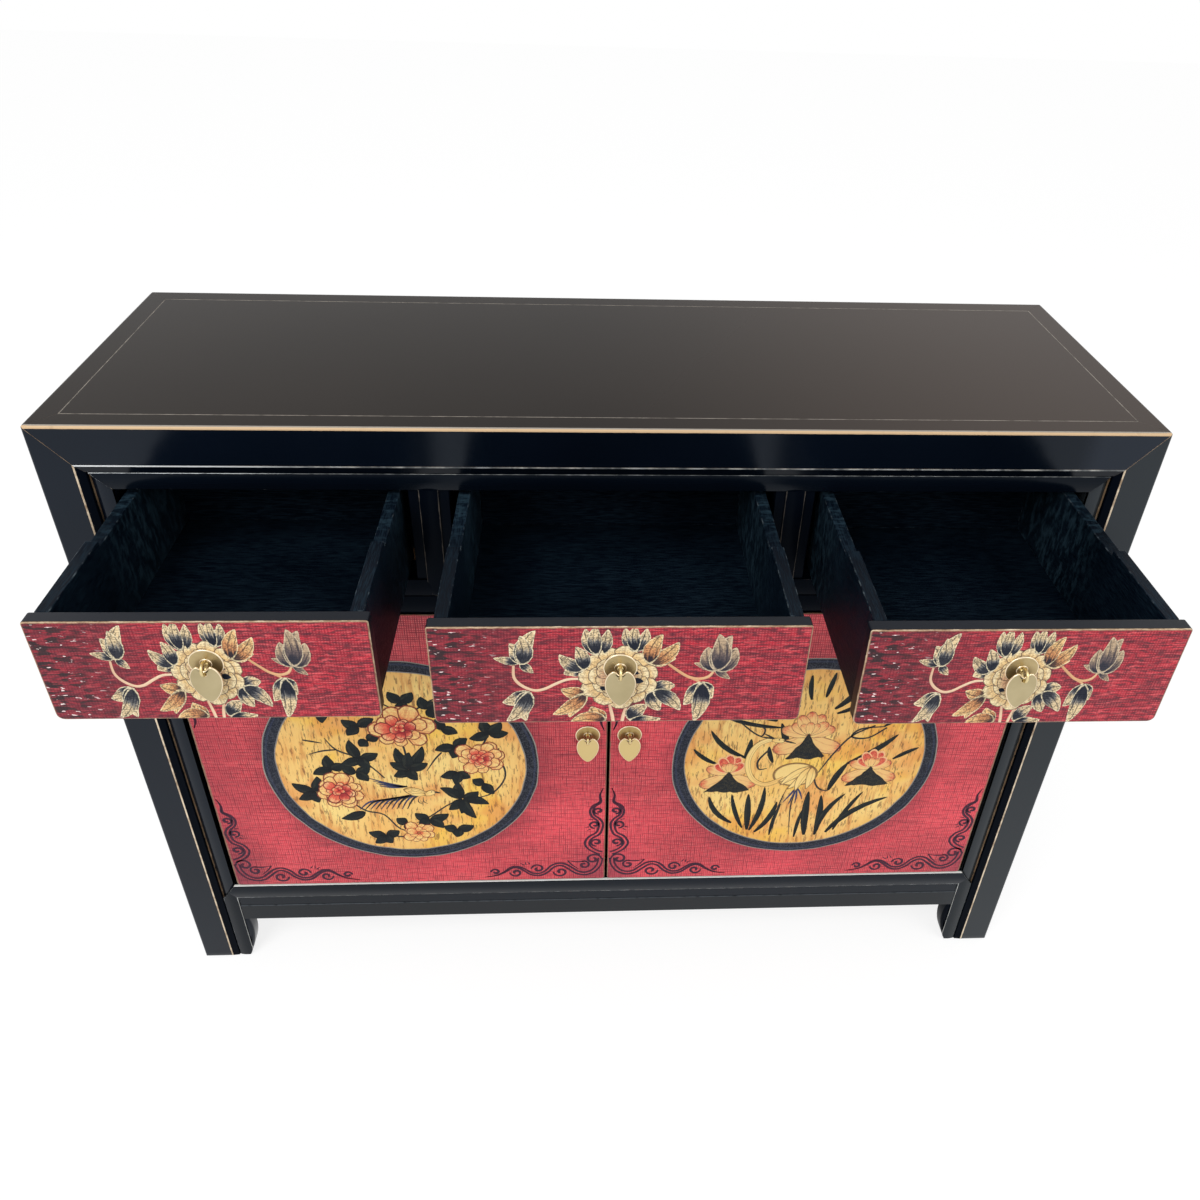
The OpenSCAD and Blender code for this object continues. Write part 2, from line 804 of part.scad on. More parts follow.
color(brass) at_drawer_pull("left") pull_fitting(front_t);  // drawer_left_pull
color(brass) at_drawer_pull("middle") pull_fitting(front_t);  // drawer_middle_pull
color(brass) at_drawer_pull("right") pull_fitting(front_t);  // drawer_right_pull
color(brass) at_drawer_pull("left") pendant();  // drawer_left_pendant
color(brass) at_drawer_pull("middle") pendant();  // drawer_middle_pendant
color(brass) at_drawer_pull("right") pendant();  // drawer_right_pendant
door_panel(true);  // door_left_panel
door_ledges(true);  // door_left_ledges
pins(true);  // door_left_pins
door_panel(false);  // door_right_panel
door_ledges(false);  // door_right_ledges
pins(false);  // door_right_pins
color(brass) at_door_pull(true) pull_fitting(door_t);  // door_left_pull
color(brass) at_door_pull(false) pull_fitting(door_t);  // door_right_pull
color(brass) at_door_pull(true) pendant();  // door_left_pendant
color(brass) at_door_pull(false) pendant();  // door_right_pendant
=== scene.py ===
# %% [markdown]
# # A lacquered buffet cabinet with painted doors
# The cabinet stands on four moulded legs, mitred into the top rails. Three drawers hang over
# two doors. The frame is lacquered nearly black, the fronts are red with painted flowers,
# and the lacquer is rubbed through to gold along the arrises. The CAD model fixes every size.
# This lesson gives the same pieces their rounded edges, finishes, paintings and brass.

# %% Load the frame
import math
import random
import bpy
import bmesh
import numpy as np
from mathutils import Matrix, Vector


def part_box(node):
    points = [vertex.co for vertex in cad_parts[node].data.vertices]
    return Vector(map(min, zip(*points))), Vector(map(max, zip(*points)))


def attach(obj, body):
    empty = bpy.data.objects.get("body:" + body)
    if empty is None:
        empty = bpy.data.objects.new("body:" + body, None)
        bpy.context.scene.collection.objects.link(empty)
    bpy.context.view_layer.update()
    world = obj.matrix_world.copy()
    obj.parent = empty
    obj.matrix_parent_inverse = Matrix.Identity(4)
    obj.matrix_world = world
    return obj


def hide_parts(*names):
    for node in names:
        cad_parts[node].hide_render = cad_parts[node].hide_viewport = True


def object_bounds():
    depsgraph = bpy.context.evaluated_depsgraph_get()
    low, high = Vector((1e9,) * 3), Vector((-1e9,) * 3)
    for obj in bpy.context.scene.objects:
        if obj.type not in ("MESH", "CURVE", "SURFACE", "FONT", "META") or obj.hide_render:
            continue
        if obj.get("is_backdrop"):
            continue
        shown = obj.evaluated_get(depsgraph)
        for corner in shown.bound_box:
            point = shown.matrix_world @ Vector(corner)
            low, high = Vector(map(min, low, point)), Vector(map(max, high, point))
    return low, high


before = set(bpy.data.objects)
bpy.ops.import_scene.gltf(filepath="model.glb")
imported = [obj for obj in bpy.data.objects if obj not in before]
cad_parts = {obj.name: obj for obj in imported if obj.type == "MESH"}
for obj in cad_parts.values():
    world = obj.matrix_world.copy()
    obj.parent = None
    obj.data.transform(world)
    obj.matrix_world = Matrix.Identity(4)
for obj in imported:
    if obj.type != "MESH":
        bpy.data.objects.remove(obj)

CAD_BOX = [list(corner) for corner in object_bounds()]
SCENE = bpy.context.scene
MM = 0.001
print("CAD box in mm:", [[round(value / MM, 1) for value in corner] for corner in CAD_BOX])

# %% [markdown]
# ## Sizes
# The sizes are those of the CAD source, in millimetres. Lengths here are written in
# millimetres because that is how a joiner thinks, and every mesh is scaled to metres when it
# is made. Two CAD parts are measured once and printed beside the sizes they should have.

# %% Sizes
HALF_W, HALF_D, TALL = 600.0, 192.5, 892.0
LEG_FLAT, RAIL_FLAT = 40.0, 46.0
BAND_W, BAND_D = 9.0, 3.5
GROOVE_W, GROOVE_D = 1.5, 2.0
STRIP_W, STRIP_D, CROWN = 19.5, 4.5, 1.5
RAIL_T, TOP_MARGIN, TOP_T = 45.0, 27.5, 15.0
LEG_W = LEG_FLAT + BAND_W + GROOVE_W + STRIP_W
TOP_H = RAIL_FLAT + BAND_W + GROOVE_W + STRIP_W
OPEN_TOP = TALL - TOP_H
MID_TOP, MID_LOW, MID_LIP = 697.0, 649.0, 3.0
LOW_TOP, LAP_LOW, LOW_LOW, APRON_LOW = 160.0, 134.0, 114.0, 83.0
WAIST_D, APRON_D, APRON_T = 6.5, 5.5, 22.0
LAP_REACH = STRIP_W - GROOVE_W / 2
INNER_X, INNER_Y = HALF_W - LEG_W, HALF_D - LEG_W
FACE_Y = -HALF_D + STRIP_D

for node, size in {"top_panel": (1145, 330, 15), "mid_rail": (1060, 42, 48)}.items():
    low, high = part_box(node)
    print(node, "CAD size in mm", [round((h - l) / MM, 1) for l, h in zip(low, high)], "expected", size)

# %% [markdown]
# ## The view
# The photograph was taken from just above the front edge, a little left of the middle, with a
# phone's wide lens. Its place comes from fitting the cabinet's corners to the picture. The
# photograph is a cropped frame, so a small shift of the lens moves the picture's centre.

# %% Camera
CAMERA_AT = (-0.0375, -1.134, 1.377)
PITCH, ROLL, YAW = 0.6085, -0.0391, 0.0701
LENS, SHIFT_X, SHIFT_Y = 30.33, -0.0314, -0.0284


def camera_turn(pitch, roll, yaw):
    """The camera's turn, from how far it looks down, leans and looks aside."""
    forward = Vector((math.sin(yaw) * math.cos(pitch), math.cos(yaw) * math.cos(pitch), -math.sin(pitch)))
    right = Vector((math.cos(yaw), -math.sin(yaw), 0))
    down = forward.cross(right)
    across = right * math.cos(roll) + down * math.sin(roll)
    drop = down * math.cos(roll) - right * math.sin(roll)
    return Matrix((across, -drop, -forward)).transposed()


def put_in_scene(name, data, matrix=None):
    """An object of the scene, at the origin unless it has a matrix."""
    placed = bpy.data.objects.new(name, data)
    if matrix is not None:
        placed.matrix_world = matrix
    SCENE.collection.objects.link(placed)
    return placed


camera_data = bpy.data.cameras.new("view")
camera_data.lens = LENS
camera_data.sensor_width = 36
camera_data.shift_x = SHIFT_X
camera_data.shift_y = SHIFT_Y
camera_data.clip_start = 0.05
SCENE.camera = put_in_scene("view", camera_data,
                            Matrix.Translation(CAMERA_AT) @ camera_turn(PITCH, ROLL, YAW).to_4x4())
SCENE.view_settings.view_transform = "Standard"

# %% [markdown]
# ## Nodes in few words
# A material is a tree of nodes. A small class adds one node and wires it in one call, so that
# a material reads like a recipe. A colour is written as it looks on screen, in six hex digits,
# and turned into the linear values that the shader works with.

# %% Colours


def colour(code):
    """The linear values of a screen colour, from a code such as #c08040."""
    screen = [int(code[i:i + 2], 16) / 255 for i in (1, 3, 5)]
    return (*[v / 12.92 if v <= 0.04045 else ((v + 0.055) / 1.055) ** 2.4 for v in screen], 1.0)


# %% Calls for nodes


class Nodes:
    """A node tree with one short call for each node. An input is a value, a colour or an output."""

    def __init__(self, tree):
        self.tree = tree

    def link(self, output, socket):
        self.tree.links.new(output, socket)

    def feed(self, socket, value):
        """Wires an output into a socket, or sets the socket's own value."""
        if isinstance(value, bpy.types.NodeSocket):
            self.link(value, socket)
        else:
            socket.default_value = colour(value) if str(value).startswith("#") else value

    def add(self, kind, inputs=None, **settings):
        """Any node."""
        made = self.tree.nodes.new(kind)
        for name, value in settings.items():
            setattr(made, name, value)
        for name, value in (inputs or {}).items():
            self.feed(made.inputs[name], value)
        return made

    def maths(self, operation, first, second=0.0, third=0.0):
        return self.add("ShaderNodeMath", {0: first, 1: second, 2: third}, operation=operation).outputs[0]

    def plus(self, first, second):
        return self.maths("ADD", first, second)

    def less(self, first, second):
        return self.maths("SUBTRACT", first, second)

    def times(self, first, second):
        return self.maths("MULTIPLY", first, second)

    def scaled(self, first, second, third):
        """The first times the second, plus the third."""
        return self.maths("MULTIPLY_ADD", first, second, third)

    def most(self, first, second):
        return self.maths("MAXIMUM", first, second)

    def blend(self, share, first, second):
        """Two colours mixed by a share."""
        return self.add("ShaderNodeMix", {0: share, 6: first, 7: second}, data_type="RGBA").outputs[2]

    def cover(self, ground, mask, share, paint):
        """A ground colour with a share of a paint where a mask is."""
        return self.blend(self.times(mask, share), ground, paint)

    def fade(self, value, low, high):
        """0 below low and 1 above high, with a soft step between."""
        inputs = {"Value": value, "From Min": low, "From Max": high}
        return self.add("ShaderNodeMapRange", inputs, interpolation_type="SMOOTHSTEP").outputs["Result"]

    def space(self, name="Object"):
        """A point in Object coordinates, or in the UV map."""
        return self.add("ShaderNodeTexCoord").outputs[name]

    def split(self, vector):
        """The parts of a vector, by X, Y and Z."""
        return self.add("ShaderNodeSeparateXYZ", {"Vector": vector}).outputs

    def place(self, name):
        """The parts of a point in a space."""
        return self.split(self.space(name))

    def xyz(self, **parts):
        """A vector from its parts."""
        return self.add("ShaderNodeCombineXYZ", parts).outputs[0]

    def texture(self, vector, scale=1.0, detail=2.0, **more):
        """Noise on a vector."""
        inputs = {"Vector": vector, "Scale": scale, "Detail": detail, **more}
        return self.add("ShaderNodeTexNoise", inputs).outputs["Fac"]

    def moved(self, vector, scale, shift):
        """A vector drawn out and shifted."""
        return self.add("ShaderNodeMapping", {"Vector": vector, "Scale": scale, "Location": shift}).outputs[0]

    def noise(self, stretch, scale=1.0, detail=3.0, rough=0.5, source=None, shift=(0, 0, 0)):
        """Noise on Object coordinates, in patches per metre along each axis."""
        where = self.moved(source or self.space(), stretch, shift)
        return self.texture(where, scale, detail, Roughness=rough)

    def attribute(self, name, output="Fac"):
        """A value that the mesh itself carries."""
        return self.add("ShaderNodeAttribute", attribute_name=name).outputs[output]

    def use(self, group, **values):
        """A group placed in the tree, its inputs named in plain words."""
        made = self.add("ShaderNodeGroup", node_tree=group)
        for name, value in values.items():
            self.feed(made.inputs[name.replace("_", " ").capitalize()], value)
        return made.outputs

    def edge_wear_and_sheen(self, patch=60.0, keep=0.5):
        """The shared rubbed edge, and on some edges a painted highlight, where the mesh's wear attribute says
        so.
        """
        return self.use(rubbed, wear=self.attribute("wear"), patch=patch, keep=keep)

    def surface(self, shader, base, rough, height=None, distance=0.0, strength=1.0):
        """Wires base colour, roughness and a relief; its height of 1 is a distance in millimetres."""
        self.link(base, shader["Base Color"])
        self.link(rough, shader["Roughness"])
        if height is not None:
            inputs = {"Height": height, "Distance": distance * MM, "Strength": strength}
            self.link(self.add("ShaderNodeBump", inputs).outputs[0], shader["Normal"])

    def seen(self):
        """1 where the camera or the gloss looks, through Light Path."""
        path = self.add("ShaderNodeLightPath").outputs
        mirrored = self.most(path["Is Glossy Ray"], path["Is Transmission Ray"])
        return self.most(path["Is Camera Ray"], mirrored)


# %% New groups and materials


def new_group(name, inputs, outputs):
    """An empty node group with named sockets: inputs have a starting value."""
    group = bpy.data.node_groups.new(name, "ShaderNodeTree")
    for label, start in inputs.items():
        group.interface.new_socket(label, in_out="INPUT", socket_type="NodeSocketFloat").default_value = start
    for label in outputs:
        group.interface.new_socket(label, in_out="OUTPUT", socket_type="NodeSocketFloat")
    nodes = Nodes(group)
    return group, nodes, nodes.add("NodeGroupInput").outputs, nodes.add("NodeGroupOutput").inputs


def new_material(name, **constants):
    """A material with its own Principled shader, whose plain values are set on its sockets."""
    material = bpy.data.materials.new(name)
    material.use_nodes = True
    shader = material.node_tree.nodes["Principled BSDF"].inputs
    for label, value in constants.items():
        shader[label.replace("_", " ")].default_value = value
    return material, Nodes(material.node_tree), shader


# %% [markdown]
# ## Effects that many finishes share
# Rubbed edges, clouds in the lacquer, a woven ground, brush streaks and specks turn up all
# over the cabinet, so each is one node group. A group gives only masks and heights. The mesh
# carries an attribute called wear, 1 on an arris and 0 on a flat, and the group breaks it up
# with noise, because lacquer never rubs through in a straight line. On some edges, such as the
# outer edges of the rounded strips, the same attribute places a painted highlight instead.
# Cloth and brush streaks belong to one board, so they read its UV map, which is measured in
# metres.

# %% Group: rubbed edges
rubbed, t, given, made = new_group("Rubbed edge", {"Wear": 0.0, "Patch": 60.0, "Keep": 0.5}, ["Mask", "Core"])
patches = t.noise((1, 1, 1), given["Patch"], 4, 0.6)
over = t.less(t.scaled(t.less(patches, 0.5), 0.75, given["Wear"]), given["Keep"])
t.link(t.fade(over, -0.05, 0.12), made["Mask"])
t.link(t.fade(over, 0.15, 0.45), made["Core"])

# %% Group: clouds in a finish
clouds, t, given, made = new_group("Clouds", {"Size": 4.0, "Soft": 0.2}, ["Value", "Fine"])
broad = t.noise((1, 1, 1), given["Size"], 3, 0.5)
edges = {"From Min": t.less(0.5, given["Soft"]), "From Max": t.plus(0.5, given["Soft"])}
t.link(t.add("ShaderNodeMapRange", {"Value": broad, **edges}).outputs[0], made["Value"])
t.link(t.noise((1, 1, 1), t.times(given["Size"], 60), 2, 0.5), made["Fine"])

# %% Group: woven ground
weave, t, given, made = new_group("Woven ground", {"Threads": 700.0, "Run": 0.06}, ["Height", "Dark"])
where = t.space("UV")


def threads(along, across, shift, low):
    """Wavering lines of threads that lie along one direction, and the mask of their dark lengths."""
    count = given["Threads"]
    scale = t.xyz(**{along: t.times(count, given["Run"]), across: count})
    loose = t.texture(t.moved(where, scale, shift))
    turns = t.scaled(t.split(where)[across], count, t.times(loose, 0.9))
    line = t.maths("SINE", t.times(turns, 2 * math.pi))
    return line, t.times(t.fade(line, 0.1, 0.9), t.fade(loose, low, low + 0.18))


weft, weft_dark = threads("X", "Y", (0, 0, 0), 0.42)
warp, warp_dark = threads("Y", "X", (7, 3, 0), 0.46)
t.link(t.scaled(t.plus(weft, warp), -0.25, 0.5), made["Height"])
t.link(t.most(weft_dark, warp_dark), made["Dark"])

# %% Group: brush streaks
streaks, t, given, made = new_group("Brush streaks", {"Length": 9.0, "Count": 330.0, "Place": 0.0},
                                    ["Value", "Thin"])
shift = t.xyz(X=given["Place"], Y=given["Place"])
where = t.moved(t.space("UV"), t.xyz(X=given["Length"], Y=given["Count"]), shift)
t.link(t.texture(where, 1.0, 4.0), made["Value"])
t.link(t.texture(where, 2.7, 2.0), made["Thin"])

# %% Group: specks
specks, t, given, made = new_group("Specks", {"Count": 400.0, "Share": 0.3}, ["Mask"])
cells = t.add("ShaderNodeTexVoronoi", {"Vector": t.space(), "Scale": given["Count"]})
bits = t.noise((1, 1, 1), t.times(given["Count"], 0.35), 2, 0.6)
limit = t.times(bits, given["Share"])
t.link(t.fade(t.less(limit, cells.outputs["Distance"]), 0.0, 0.06), made["Mask"])
print("node groups:", sorted(group.name for group in bpy.data.node_groups))

# %% [markdown]
# ## Light and floor
# A plain studio: an even pale sky, one large soft lamp high in front and to the left, and a
# weaker one on the right. The lamps are kept low enough that a colour renders about as it is
# written. The camera and the gloss see the sky and the floor as white, through Light Path,
# while the floor still takes the cabinet's shadow.

# %% Sky and lamps
SKY_LIGHT = 0.62
world = bpy.data.worlds.new("studio")
world.use_nodes = True
SCENE.world = world
t = Nodes(world.node_tree)
sky = world.node_tree.nodes["Background"].inputs
sky["Color"].default_value = (1, 1, 1, 1)
t.link(t.scaled(t.seen(), 1 - SKY_LIGHT, SKY_LIGHT), sky["Strength"])


def soft_lamp(name, place, aim, size, power):
    """A square area lamp that looks from its place towards a point."""
    data = bpy.data.lights.new(name, "AREA")
    data.size = size
    data.energy = power
    turn = (Vector(aim) - Vector(place)).to_track_quat("-Z", "Y").to_matrix().to_4x4()
    put_in_scene(name, data, Matrix.Translation(place) @ turn)


soft_lamp("key", (-1.6, -2.2, 2.9), (0, -0.1, 0.6), 1.8, 52)
soft_lamp("fill", (2.2, -1.8, 2.0), (0, -0.1, 0.5), 2.0, 18)

# %% Floor
GLOW, SHADE = 0.8, 0.3
FLOOR_HALF, FLOOR_DROP = 9, -0.0006
floor_mesh = bpy.data.meshes.new("floor")
floor_mesh.from_pydata([(x * FLOOR_HALF, y * FLOOR_HALF, FLOOR_DROP)
                        for x, y in ((-1, -1), (1, -1), (1, 1), (-1, 1))], [], [(0, 1, 2, 3)])
put_in_scene("floor", floor_mesh)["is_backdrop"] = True
material = bpy.data.materials.new("pale_floor")
material.use_nodes = True
nodes = material.node_tree.nodes
nodes.remove(nodes["Principled BSDF"])
t = Nodes(material.node_tree)
seen = t.seen()
pale = t.blend(t.noise((1, 1, 1), 40, 2), "#eeeeee", "#f6f6f6")
matt = t.add("ShaderNodeBsdfDiffuse", {"Color": t.blend(seen, pale, (SHADE, SHADE, SHADE, 1))})
glow = t.add("ShaderNodeEmission", {"Color": (1, 1, 1, 1), "Strength": t.times(seen, GLOW)})
mixed = t.add("ShaderNodeAddShader", {0: matt.outputs[0], 1: glow.outputs[0]})
t.link(mixed.outputs[0], nodes["Material Output"].inputs["Surface"])
floor_mesh.materials.append(material)
print("floor and lamps ready")

# %% [markdown]
# ## Lacquer of the frame
# The frame is lacquered a blue black in several coats and polished. It is glossy, a little
# cloudy, and rubbed through on the arrises: first a tan undercoat shows, and where the rubbing
# is deepest a pale gold. The wear attribute drives this through the shared group.

# %% Frame lacquer
# Tones of the edge lines. The white and the pearl tones are partly rubbed wear and partly painted highlight:
# the bright arris line of the bottom rail, and the pale blue-grey sheen along the strips' edges.
CREAM_LINE = ("#92785c", "#ecdabe")
GOLD_LINE = ("#84684c", "#d6b68e")
WEAR_AND_GLINT_WHITE = ("#aaaaa4", "#fffffa")
GREY_LINE = ("#5c5650", "#a69e94")
WEAR_AND_SHEEN_LINE = ("#5c6062", "#cecec8")
DIM_LINE = ("#4a4642", "#8c7e70")
COLD, WARM = (0.78, 0.88, 1.0, 1), (1.0, 0.9, 0.8, 1)


def lacquer(name, dark, light, rough, gloss, line=CREAM_LINE, tint=COLD, painted_sheen=None, sheen_span=(0.50, 0.53),
            glints=0.0, left_end=None, patch=70.0):
    """A polished lacquer, two tones of cloud, rubbed where the mesh says so; a painted sheen lightens it
    towards the right, as on the right leg, and painted glints whiten its rubbed edges.
    """
    material, t, shader = new_material(name, Specular_IOR_Level=gloss, Specular_Tint=tint)
    cloud = t.use(clouds, size=3.0, soft=0.3)
    ground = t.blend(cloud["Value"], dark, light)
    # Painted sheen: the ground is lightened towards the right, standing in for reflected light.
    if painted_sheen:
        ground = t.blend(t.fade(t.place("Object")["X"], *sheen_span), ground, painted_sheen)
    edge = t.edge_wear_and_sheen(patch)
    gold = t.blend(edge["Core"], *line)
    # Painted glints: white highlights mixed into the edge lines, with more of them towards a left end where
    # one is given.
    if glints:
        painted_glints = t.times(t.fade(t.noise((26, 26, 26), 1.0, 3, 0.6), 0.52, 0.62), glints)
        if left_end:
            painted_glints = t.most(painted_glints, t.fade(t.place("Object")["X"], left_end, left_end - 0.16))
        gold = t.blend(painted_glints, gold, "#f0f4f6")
    satin = t.scaled(cloud["Fine"], 0.08, rough)
    t.surface(shader, t.blend(edge["Mask"], ground, gold), t.scaled(edge["Mask"], 0.22, satin),
              t.less(cloud["Value"], t.times(edge["Mask"], 0.3)), 0.25, 0.25)
    return material


NIGHT = ("#030810", "#0a121e")
# The lighter tones given for the right below are painted sheen: they lighten the case's right side, and the
# top from its middle towards the right.
frame_lacquer = lacquer("frame_lacquer", *NIGHT, 0.13, 0.24, painted_sheen="#282c2f")
rail_lacquer = lacquer("rail_lacquer", *NIGHT, 0.13, 0.24, GOLD_LINE, painted_sheen="#1c222c")
bead_lacquer = lacquer("bead_lacquer", "#02060d", "#080f19", 0.16, 0.14, WEAR_AND_SHEEN_LINE, glints=0.3,
                       left_end=-0.28)
low_lacquer = lacquer("low_lacquer", "#040910", "#0a111b", 0.13, 0.22, WEAR_AND_GLINT_WHITE, glints=0.6)
strip_lacquer = lacquer("strip_lacquer", "#0e1216", "#181c21", 0.16, 0.16, WEAR_AND_SHEEN_LINE, painted_sheen="#222629",
                        glints=0.3)
apron_lacquer = lacquer("apron_lacquer", "#141618", "#222426", 0.16, 0.2, ("#464a4e", "#6c7072"),
                        painted_sheen="#242729")
# The inner lacquer is a darker, duller copy of the frame's. In the bands and grooves of the legs, in the
# bottom rail's groove and in the insides of the right feet it is painted shade; the middle rail and the
# dividers are finished with it too.
inner_lacquer = lacquer("inner_lacquer", "#02060e", "#060b14", 0.3, 0.03, DIM_LINE)
top_lacquer = lacquer("top_lacquer", "#1a1410", "#221b16", 0.17, 0.07, GREY_LINE, WARM, "#423832",
                      (-0.1, 0.52))
print("lacquers:", frame_lacquer.name, top_lacquer.name)

# %% [markdown]
# ## Meshes from a list of corners
# A shape is a list of corners in millimetres, a list of faces and the wear of each corner. It
# is scaled once and kept at the origin with its place in its mesh, as the CAD nodes are. Faces
# meeting at more than a given angle stay sharp and the rest are shaded smooth.

# %% Values on the corners of a mesh


def store(mesh, name, values, size=1):
    """Stores a number or a vector on each corner of a mesh."""
    kind, label = ("FLOAT", "value") if size == 1 else ("FLOAT_VECTOR", "vector")
    mesh.attributes.new(name, kind, "POINT").data.foreach_set(label, np.asarray(values, np.float32).ravel())


def stored(mesh, name, size=1):
    """The numbers or vectors stored on a mesh, as plain values."""
    data = mesh.attributes[name].data
    found = np.zeros(len(data) * size, np.float32)
    data.foreach_get("value" if size == 1 else "vector", found)
    return (found if size == 1 else found.reshape(-1, size)).tolist()


# %% A piece from its shape
SMOOTH_BELOW = math.radians(38)


def hang(name, mesh, materials, body, replaces):
    """Puts a mesh in the scene as a piece that rides on a body."""
    for material in materials:
        mesh.materials.append(material)
    piece = put_in_scene(name, mesh)
    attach(piece, body)
    if replaces:
        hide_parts(*replaces)
    return piece


def make_piece(name, shape, materials, body, replaces, kinds=None, uv=None):
    """A piece from a shape in millimetres. Kinds give each face its material."""
    corners, faces, wears = shape
    mesh = bpy.data.meshes.new(name)
    mesh.from_pydata([tuple(value * MM for value in corner) for corner in corners], [], faces)
    if wears is not None:
        store(mesh, "wear", wears)
    if kinds is not None:
        mesh.polygons.foreach_set("material_index", np.asarray(kinds, np.int32))
    if uv is not None:
        layer = mesh.uv_layers.new(name="UVMap")
        for loop in mesh.loops:
            layer.data[loop.index].uv = uv[loop.vertex_index]
    mesh.validate()
    work = bmesh.new()
    work.from_mesh(mesh)
    bmesh.ops.recalc_face_normals(work, faces=work.faces)
    work.to_mesh(mesh)
    work.free()
    mesh.polygons.foreach_set("use_smooth", [True] * len(mesh.polygons))
    mesh.set_sharp_from_angle(angle=SMOOTH_BELOW)
    return hang(name, mesh, materials, body, replaces)


def frame_piece(node, shape, materials, kinds=None):
    """A piece of the lacquered frame, standing for one CAD node."""
    make_piece(f"piece_{node}", shape, materials, "carcass", [node], kinds)
    print(f"piece_{node}:", len(shape[1]), "faces")


# %% Faces of stacked rings


def bands(count, rings, closed=False):
    """Faces between rings of count corners; where closed, the last ring meets the first."""
    faces = []
    for ring in range(rings if closed else rings - 1):
        low, high = ring * count, (ring + 1) % rings * count
        faces += [(low + i, low + (i + 1) % count, high + (i + 1) % count, high + i) for i in range(count)]
    return faces


def caps(count, rings):
    """The two end faces of a stack of rings."""
    return [tuple(range(count)), tuple(range((rings - 1) * count, rings * count))]


def joined(shapes):
    """Several shapes as one."""
    corners, faces, wears = [], [], []
    for some_corners, some_faces, some_wears in shapes:
        shift = len(corners)
        corners += some_corners
        faces += [tuple(shift + i for i in face) for face in some_faces]
        wears += some_wears
    return corners, faces, wears


def middle_of(face, corners):
    """The mean of a face's corners."""
    return [sum(corners[i][axis] for i in face) / len(face) for axis in range(3)]


# %% [markdown]
# ## Softened sections
# No lacquered arris is knife sharp. A section is a closed outline of corners, each with a
# radius and a wear. The radius becomes a small arc, and one more point just beside the arc
# keeps the shading of the broad flats even. That point has no wear, so the rubbed line is as
# narrow as the arc.

# %% Softened outline
ARC_STEPS = 3
SUPPORT = 0.45
LONGEST_ARC = 0.35


def soften(corners):
    """Points (u, v, wear) of a closed outline, from corners (u, v, radius, wear)."""
    points = []
    for i, (u, v, radius, wear) in enumerate(corners):
        here = Vector((u, v))
        if radius == 0:
            points.append((u, v, wear))
            continue
        ways = [Vector(corners[j % len(corners)][:2]) - here for j in (i - 1, i + 1)]
        reach = min(radius, *(LONGEST_ARC * way.length for way in ways))
        start, end = (here + way.normalized() * reach for way in ways)
        beside = [[(*(here + way.normalized() * (reach + SUPPORT)), 0)]
                  if way.length > 2 * (reach + SUPPORT) else [] for way in ways]
        points += beside[0]
        for step in range(ARC_STEPS + 1):
            t = step / ARC_STEPS
            points.append((*(start * (1 - t) ** 2 + here * 2 * t * (1 - t) + end * t ** 2), wear))
        points += beside[1]
    return points


def inward(points):
    """For each point of a closed outline, the step into the shape at its corner."""
    flat = np.array([p[:2] for p in points], float)
    edges = np.roll(flat, -1, 0) - flat
    edges /= np.maximum(np.linalg.norm(edges, axis=1, keepdims=True), 1e-9)
    area = np.sum(flat[:, 0] * np.roll(flat[:, 1], -1) - np.roll(flat[:, 0], -1) * flat[:, 1])
    sides = np.stack([-edges[:, 1], edges[:, 0]], 1) * np.sign(area)
    steps = sides + np.roll(sides, 1, 0)
    return steps / np.maximum(np.sum(steps * sides, 1), 0.3)[:, None]


# %% [markdown]
# ## Bars with mitred ends
# A rail or a leg is one section drawn along a line, and its ends are cut by mitres. Where the
# cut stands depends on the place in the section, so each point of the section asks a function
# for its start and its end. The last ring is drawn in by a quarter of a millimetre, which
# leaves the fine V line that shows at every joint on the real piece.

# %% Bars
JOINT = [(0.0, 0.25, 0.75), (0.3, 0.0, 0.55), (0.6, 0.0, 0.0), (6.0, 0.0, 0.0)]
PLAIN_END = [(0.0, 0.0, 0.0), (1.0, 0.0, 0.0)]


def bar(section, start, end, place, start_rings=JOINT, end_rings=JOINT):
    """A section drawn from start to end, each a length or a function. Rings are (offset, inset, wear)."""
    steps = inward(section)
    rings = [(start, 1, ring) for ring in start_rings] + [(end, -1, ring) for ring in reversed(end_rings)]
    corners, wears = [], []
    for limit, sign, (offset, inset, wear) in rings:
        for (u, v, own), step in zip(section, steps):
            along = (limit(u, v) if callable(limit) else limit) + sign * offset
            corners.append(place(u + step[0] * inset, v + step[1] * inset, along))
            wears.append(max(own, wear))
    count = len(section)
    return corners, caps(count, len(rings)) + bands(count, len(rings)), wears


def mitre(depth):
    """How far in a rail's end stands at a depth below the top, along the leg's mitre."""
    return depth * LEG_FLAT / RAIL_FLAT if depth <= RAIL_FLAT else LEG_FLAT + depth - RAIL_FLAT


def leg_cut(along):
    """How far below the top a leg ends, at a distance from its outer corner."""
    return along * RAIL_FLAT / LEG_FLAT if along <= LEG_FLAT else RAIL_FLAT + along - LEG_FLAT


# %% Rounded outer arrises of the case
CASE_ROUND, TOE_ROUND = 3.2, 6.0


def drawn_in(over, radius):
    """How far a point outside a rounding comes back, from how far it lies beyond the round's centre."""
    return over * (1 - radius / over.length) if over.length > radius else over * 0


